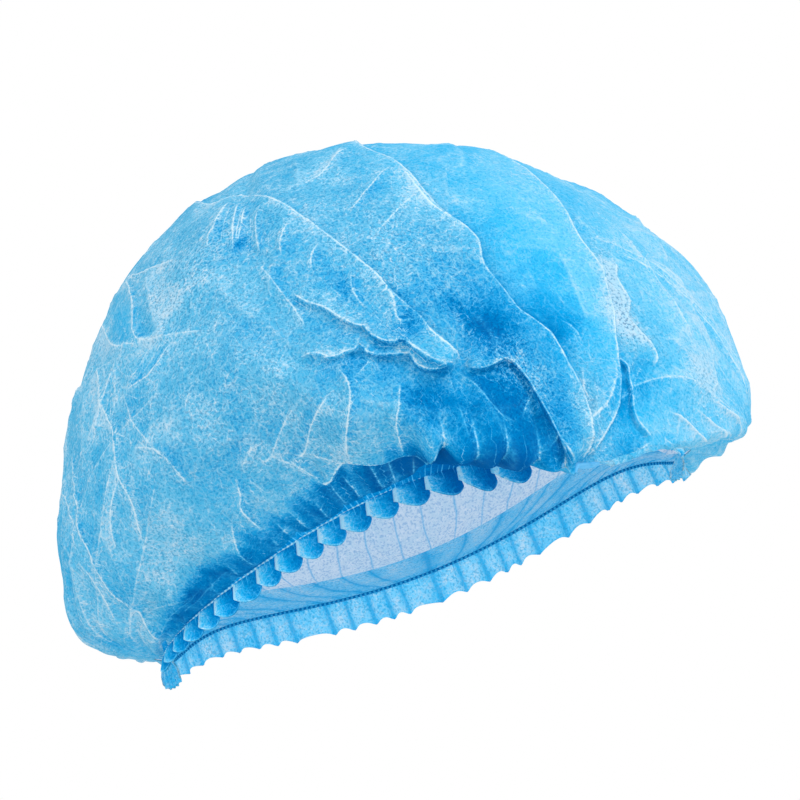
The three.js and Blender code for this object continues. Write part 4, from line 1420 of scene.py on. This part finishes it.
def floor_material():
    graph = Graph("pale_floor")
    where = graph.node("TexCoord", {}, output="Object")
    tone = graph.noise(where, 3.0, 3.0, 0.5)
    colour = graph.mix(tone, *FLOOR_TONES)
    return graph.finish(graph.node("BsdfPrincipled", {}, Base_Color=colour, Roughness=0.8))


# ---------------------------------------------------------------- Settings


class CapClothSettings(bpy.types.PropertyGroup):
    """Sizes of the crown's cloth."""

    thickness: bpy.props.FloatProperty(
        name="Thickness", description="Thickness of the cloth", default=0.00035, unit="LENGTH", precision=5)
    crumple: bpy.props.FloatProperty(
        name="Crumple", description="Strength of the crumpled facets", default=1.0, min=0.0, max=3.0)
    swell: bpy.props.FloatProperty(
        name="Swell", description="Strength of the slow swells", default=1.0, min=0.0, max=3.0)
    # Strength of the painted glow: emission in the cloth's own colour, standing in for light scattered through
    # it.
    glow: bpy.props.FloatProperty(
        name="Glow", description="Light scattered within the cloth, as a share of its colour", default=0.32,
        min=0.0, max=2.0)
    # Strength of the inside's painted glow: emission standing in for light that comes through to the inside.
    lining_glow: bpy.props.FloatProperty(
        name="Lining glow", description="Light that comes through to the inside, as a share of its colour",
        default=0.9, min=0.0, max=2.0)


class CapStageSettings(bpy.types.PropertyGroup):
    """Camera, lights and floor."""

    elevation: bpy.props.FloatProperty(
        name="Elevation", description="Camera's angle above the horizon", default=math.radians(-14),
        subtype="ANGLE")
    roll: bpy.props.FloatProperty(
        name="Roll", description="Turn of the camera about its own axis", default=math.radians(21.5),
        subtype="ANGLE")
    distance: bpy.props.FloatProperty(
        name="Distance", description="Distance from the camera to the cap", default=1.3, unit="LENGTH")
    lens: bpy.props.FloatProperty(
        name="Lens", description="Focal length for a 36 mm sensor", default=150.6)
    floor_drop: bpy.props.FloatProperty(
        name="Floor drop", description="How far the floor lies below the cap", default=0.4, unit="LENGTH")


# ---------------------------------------------------------------- Operators


class CAP_OT_crown(bpy.types.Operator):
    """Make the crown: pleated nonwoven cloth in six panels that meet under the pleats"""

    bl_idname = "object.cap_crown"
    bl_label = "Crown"

    def execute(self, context):
        settings = context.scene.cap_cloth
        cloth = crown_cloth(settings)
        points = cloth.placed()
        normals = unit(crossed_steps(points))
        outside = cloth_material("crown_cloth", settings.glow, greyness=0.75)
        inside = lining_material("crown_lining", settings)
        first = 0
        for panel in PANELS:
            part = slice(first, first + panel["columns"] + 1)
            first += panel["columns"]
            piece = make_cloth(panel["name"], points[part], normals[part], settings.thickness / MM,
                               (outside, inside), cloth_attributes(cloth, part))
            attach(piece, ROOT)
            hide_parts("crown")
            declare_sheet(points[part])
        return {"FINISHED"}


def dress_net(name, net, thickness, material, attributes, node):
    piece = make_cloth(name, net, unit(crossed_steps(net)), thickness, (material,), attributes)
    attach(piece, ROOT)
    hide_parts(node)
    declare_sheet(net)


def declare_sheet(net):
    """Works out a gathered sheet's flat cut, as wide and long as the net's longest lines, and its area; nothing
    is done with them.
    """
    width = np.linalg.norm(np.diff(net, axis=0), axis=-1).sum(0).max() * MM
    length = np.linalg.norm(np.diff(net, axis=1), axis=-1).sum(1).max() * MM
    cut = cell_areas(net).sum() * MM**2


# The hems' lines: their colour and how much they lighten the cloth, by whether the hem is pointed. On the front
# ruffle they are painted highlights; on the pointed hem they are darker blue lines along its folds.
HEM_LINES = {True: (BLUE_LINE, -0.3), False: (HEM_LINE, 0.45)}
# The gathered ends' painted glow, as a share of the cloth's, raised to lift them out of their shade.
TAB_GLOW = 1.8


class CAP_OT_hems(bpy.types.Operator):
    """Make the two hems: a band inside the crown and a ruffle below the elastic"""

    bl_idname = "object.cap_hems"
    bl_label = "Hems"

    def execute(self, context):
        settings = context.scene.cap_cloth
        for hem in HEMS:
            cloth = hem_cloth(hem)
            lines = HEM_LINES[hem["pointed"]]
            material = cloth_material(hem["name"] + "_cloth", settings.glow * hem["glow"], *lines)
            dress_net(hem["name"], cloth.placed(), 2 * settings.thickness / MM, material,
                      cloth_attributes(cloth), hem["node"])
        return {"FINISHED"}


class CAP_OT_seams(bpy.types.Operator):
    """Make the two stitched elastics"""

    bl_idname = "object.cap_seams"
    bl_label = "Elastics"

    def execute(self, context):
        for elastic in ELASTICS:
            rings, middle, bead = seam_cord(elastic)
            vertices, quads, caps = tube(rings, middle)
            dark = elastic["edge"]["across"] > 0
            material = elastic_material(elastic["name"] + "_cord", dark)
            piece = make_object(elastic["name"], vertices, quads, (material,), caps=caps,
                                attributes={"bead": np.append(bead, [0, 0])})
            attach(piece, ROOT)
            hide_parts(elastic["node"])
        return {"FINISHED"}


class CAP_OT_tabs(bpy.types.Operator):
    """Make the two gathered ends"""

    bl_idname = "object.cap_tabs"
    bl_label = "Gathered Ends"

    def execute(self, context):
        settings = context.scene.cap_cloth
        material = cloth_material("welded_cloth", settings.glow * TAB_GLOW)
        for tab in TABS:
            net = tab_net(tab)
            across = np.linspace(-1, 1, net.shape[0])[:, None]
            fold = np.cos(np.pi * TAB_PLEATS * across)
            # Painted light on the pleats' crests and painted shade between them, with a soft painted highlight
            # on each crest and a painted highlight line along the sides.
            values = {"deep": tab["deep"] - 0.16 * fold, "grain": 0.6, "line": (1 - np.abs(across)) * 4,
                      "glow": 0.3, "soft": 0.2 * np.clip(fold, 0, 1) ** 8, "low": FAR}
            attributes = {key: np.tile(np.broadcast_to(value, net.shape[:2]).ravel(), 2)
                          for key, value in values.items()}
            dress_net(tab["name"], net, 2 * settings.thickness / MM, material, attributes,
                      tab["node"])
        return {"FINISHED"}


# Soft lights, in metres and watts.
LIGHTS = table(
    "name place size power",
    ("key", (-0.8, -0.9, 1.2), 0.4, 9),
    ("side", (1.2, -0.8, 0.6), 0.5, 12),
    ("front", (0.1, -1.7, -0.4), 0.8, 10),
    ("rim", (0.3, 1.2, 1.0), 1.0, 4),
)
FLOOR_SIZE = 8
SENSOR_WIDTH = 36.0
# The point that the camera turns about, and how far right of it and above it the camera aims.
PIVOT = (0, 0, 0.005)
AIM_RIGHT = 0.01384
AIM_UP = 0.05635


class CAP_OT_stage(bpy.types.Operator):
    """Set the floor, the soft lights and the camera"""

    bl_idname = "object.cap_stage"
    bl_label = "Stage"

    def execute(self, context):
        scene = context.scene
        settings = scene.cap_stage
        centre = (CAD_BOX[0] + CAD_BOX[1]) / 2
        bpy.ops.mesh.primitive_plane_add(size=FLOOR_SIZE, location=(0, 0, -settings.floor_drop))
        floor = context.object
        floor.name = "floor"
        floor.data.materials.append(floor_material())
        floor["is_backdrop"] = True
        world = bpy.data.worlds.new("studio")
        world.use_nodes = True
        world.node_tree.nodes["Background"].inputs[0].default_value = (1, 1, 1, 1)
        world.node_tree.nodes["Background"].inputs[1].default_value = 1.0
        scene.world = world
        scene.view_settings.view_transform = "Standard"
        for row in LIGHTS:
            light = bpy.data.lights.new(row["name"], "AREA")
            light.size, light.energy = row["size"], row["power"]
            lamp = bpy.data.objects.new(row["name"], light)
            lamp.location = row["place"]
            lamp.rotation_mode = "QUATERNION"
            lamp.rotation_quaternion = (centre - lamp.location).to_track_quat("-Z", "Y")
            scene.collection.objects.link(lamp)
        data = bpy.data.cameras.new("camera")
        data.sensor_width, data.lens = SENSOR_WIDTH, settings.lens
        data.clip_start, data.clip_end = 0.01, 50
        camera = bpy.data.objects.new("camera", data)
        scene.collection.objects.link(camera)
        ahead = Vector((0, math.cos(settings.elevation), -math.sin(settings.elevation)))
        right = Vector((1, 0, 0))
        up = right.cross(ahead)
        turn, lean = math.cos(settings.roll), math.sin(settings.roll)
        side, top = right * turn - up * lean, right * lean + up * turn
        axes = Matrix((side, top, -ahead)).transposed().to_4x4()
        off = ahead * settings.distance + right * AIM_RIGHT + up * AIM_UP
        turn = ahead.rotation_difference(off).to_matrix().to_4x4()
        place = Vector(PIVOT) - ahead * settings.distance
        camera.matrix_world = Matrix.Translation(place) @ turn @ axes
        scene.camera = camera
        return {"FINISHED"}


class CAP_PT_panel(bpy.types.Panel):
    """Lists the cap's pieces."""

    bl_label = "Surgical Cap"
    bl_space_type = "VIEW_3D"
    bl_region_type = "UI"
    bl_category = "Cap"

    def draw(self, context):
        for operator in OPERATORS:
            self.layout.operator(operator.bl_idname)


OPERATORS = (CAP_OT_stage, CAP_OT_crown, CAP_OT_hems, CAP_OT_seams, CAP_OT_tabs)
CLASSES = (CapClothSettings, CapStageSettings, *OPERATORS, CAP_PT_panel)


def register():
    for cls in CLASSES:
        bpy.utils.register_class(cls)
    bpy.types.Scene.cap_cloth = bpy.props.PointerProperty(type=CapClothSettings)
    bpy.types.Scene.cap_stage = bpy.props.PointerProperty(type=CapStageSettings)


def unregister():
    del bpy.types.Scene.cap_stage
    del bpy.types.Scene.cap_cloth
    for cls in reversed(CLASSES):
        bpy.utils.unregister_class(cls)


def main():
    register()
    for operator in OPERATORS:
        group, name = operator.bl_idname.split(".")
        getattr(getattr(bpy.ops, group), name)()
    boxes = {"cad": CAD_BOX, "visual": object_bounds()}
    {key: [list(corner) for corner in box] for key, box in boxes.items()}


if __name__ == "__main__":
    main()
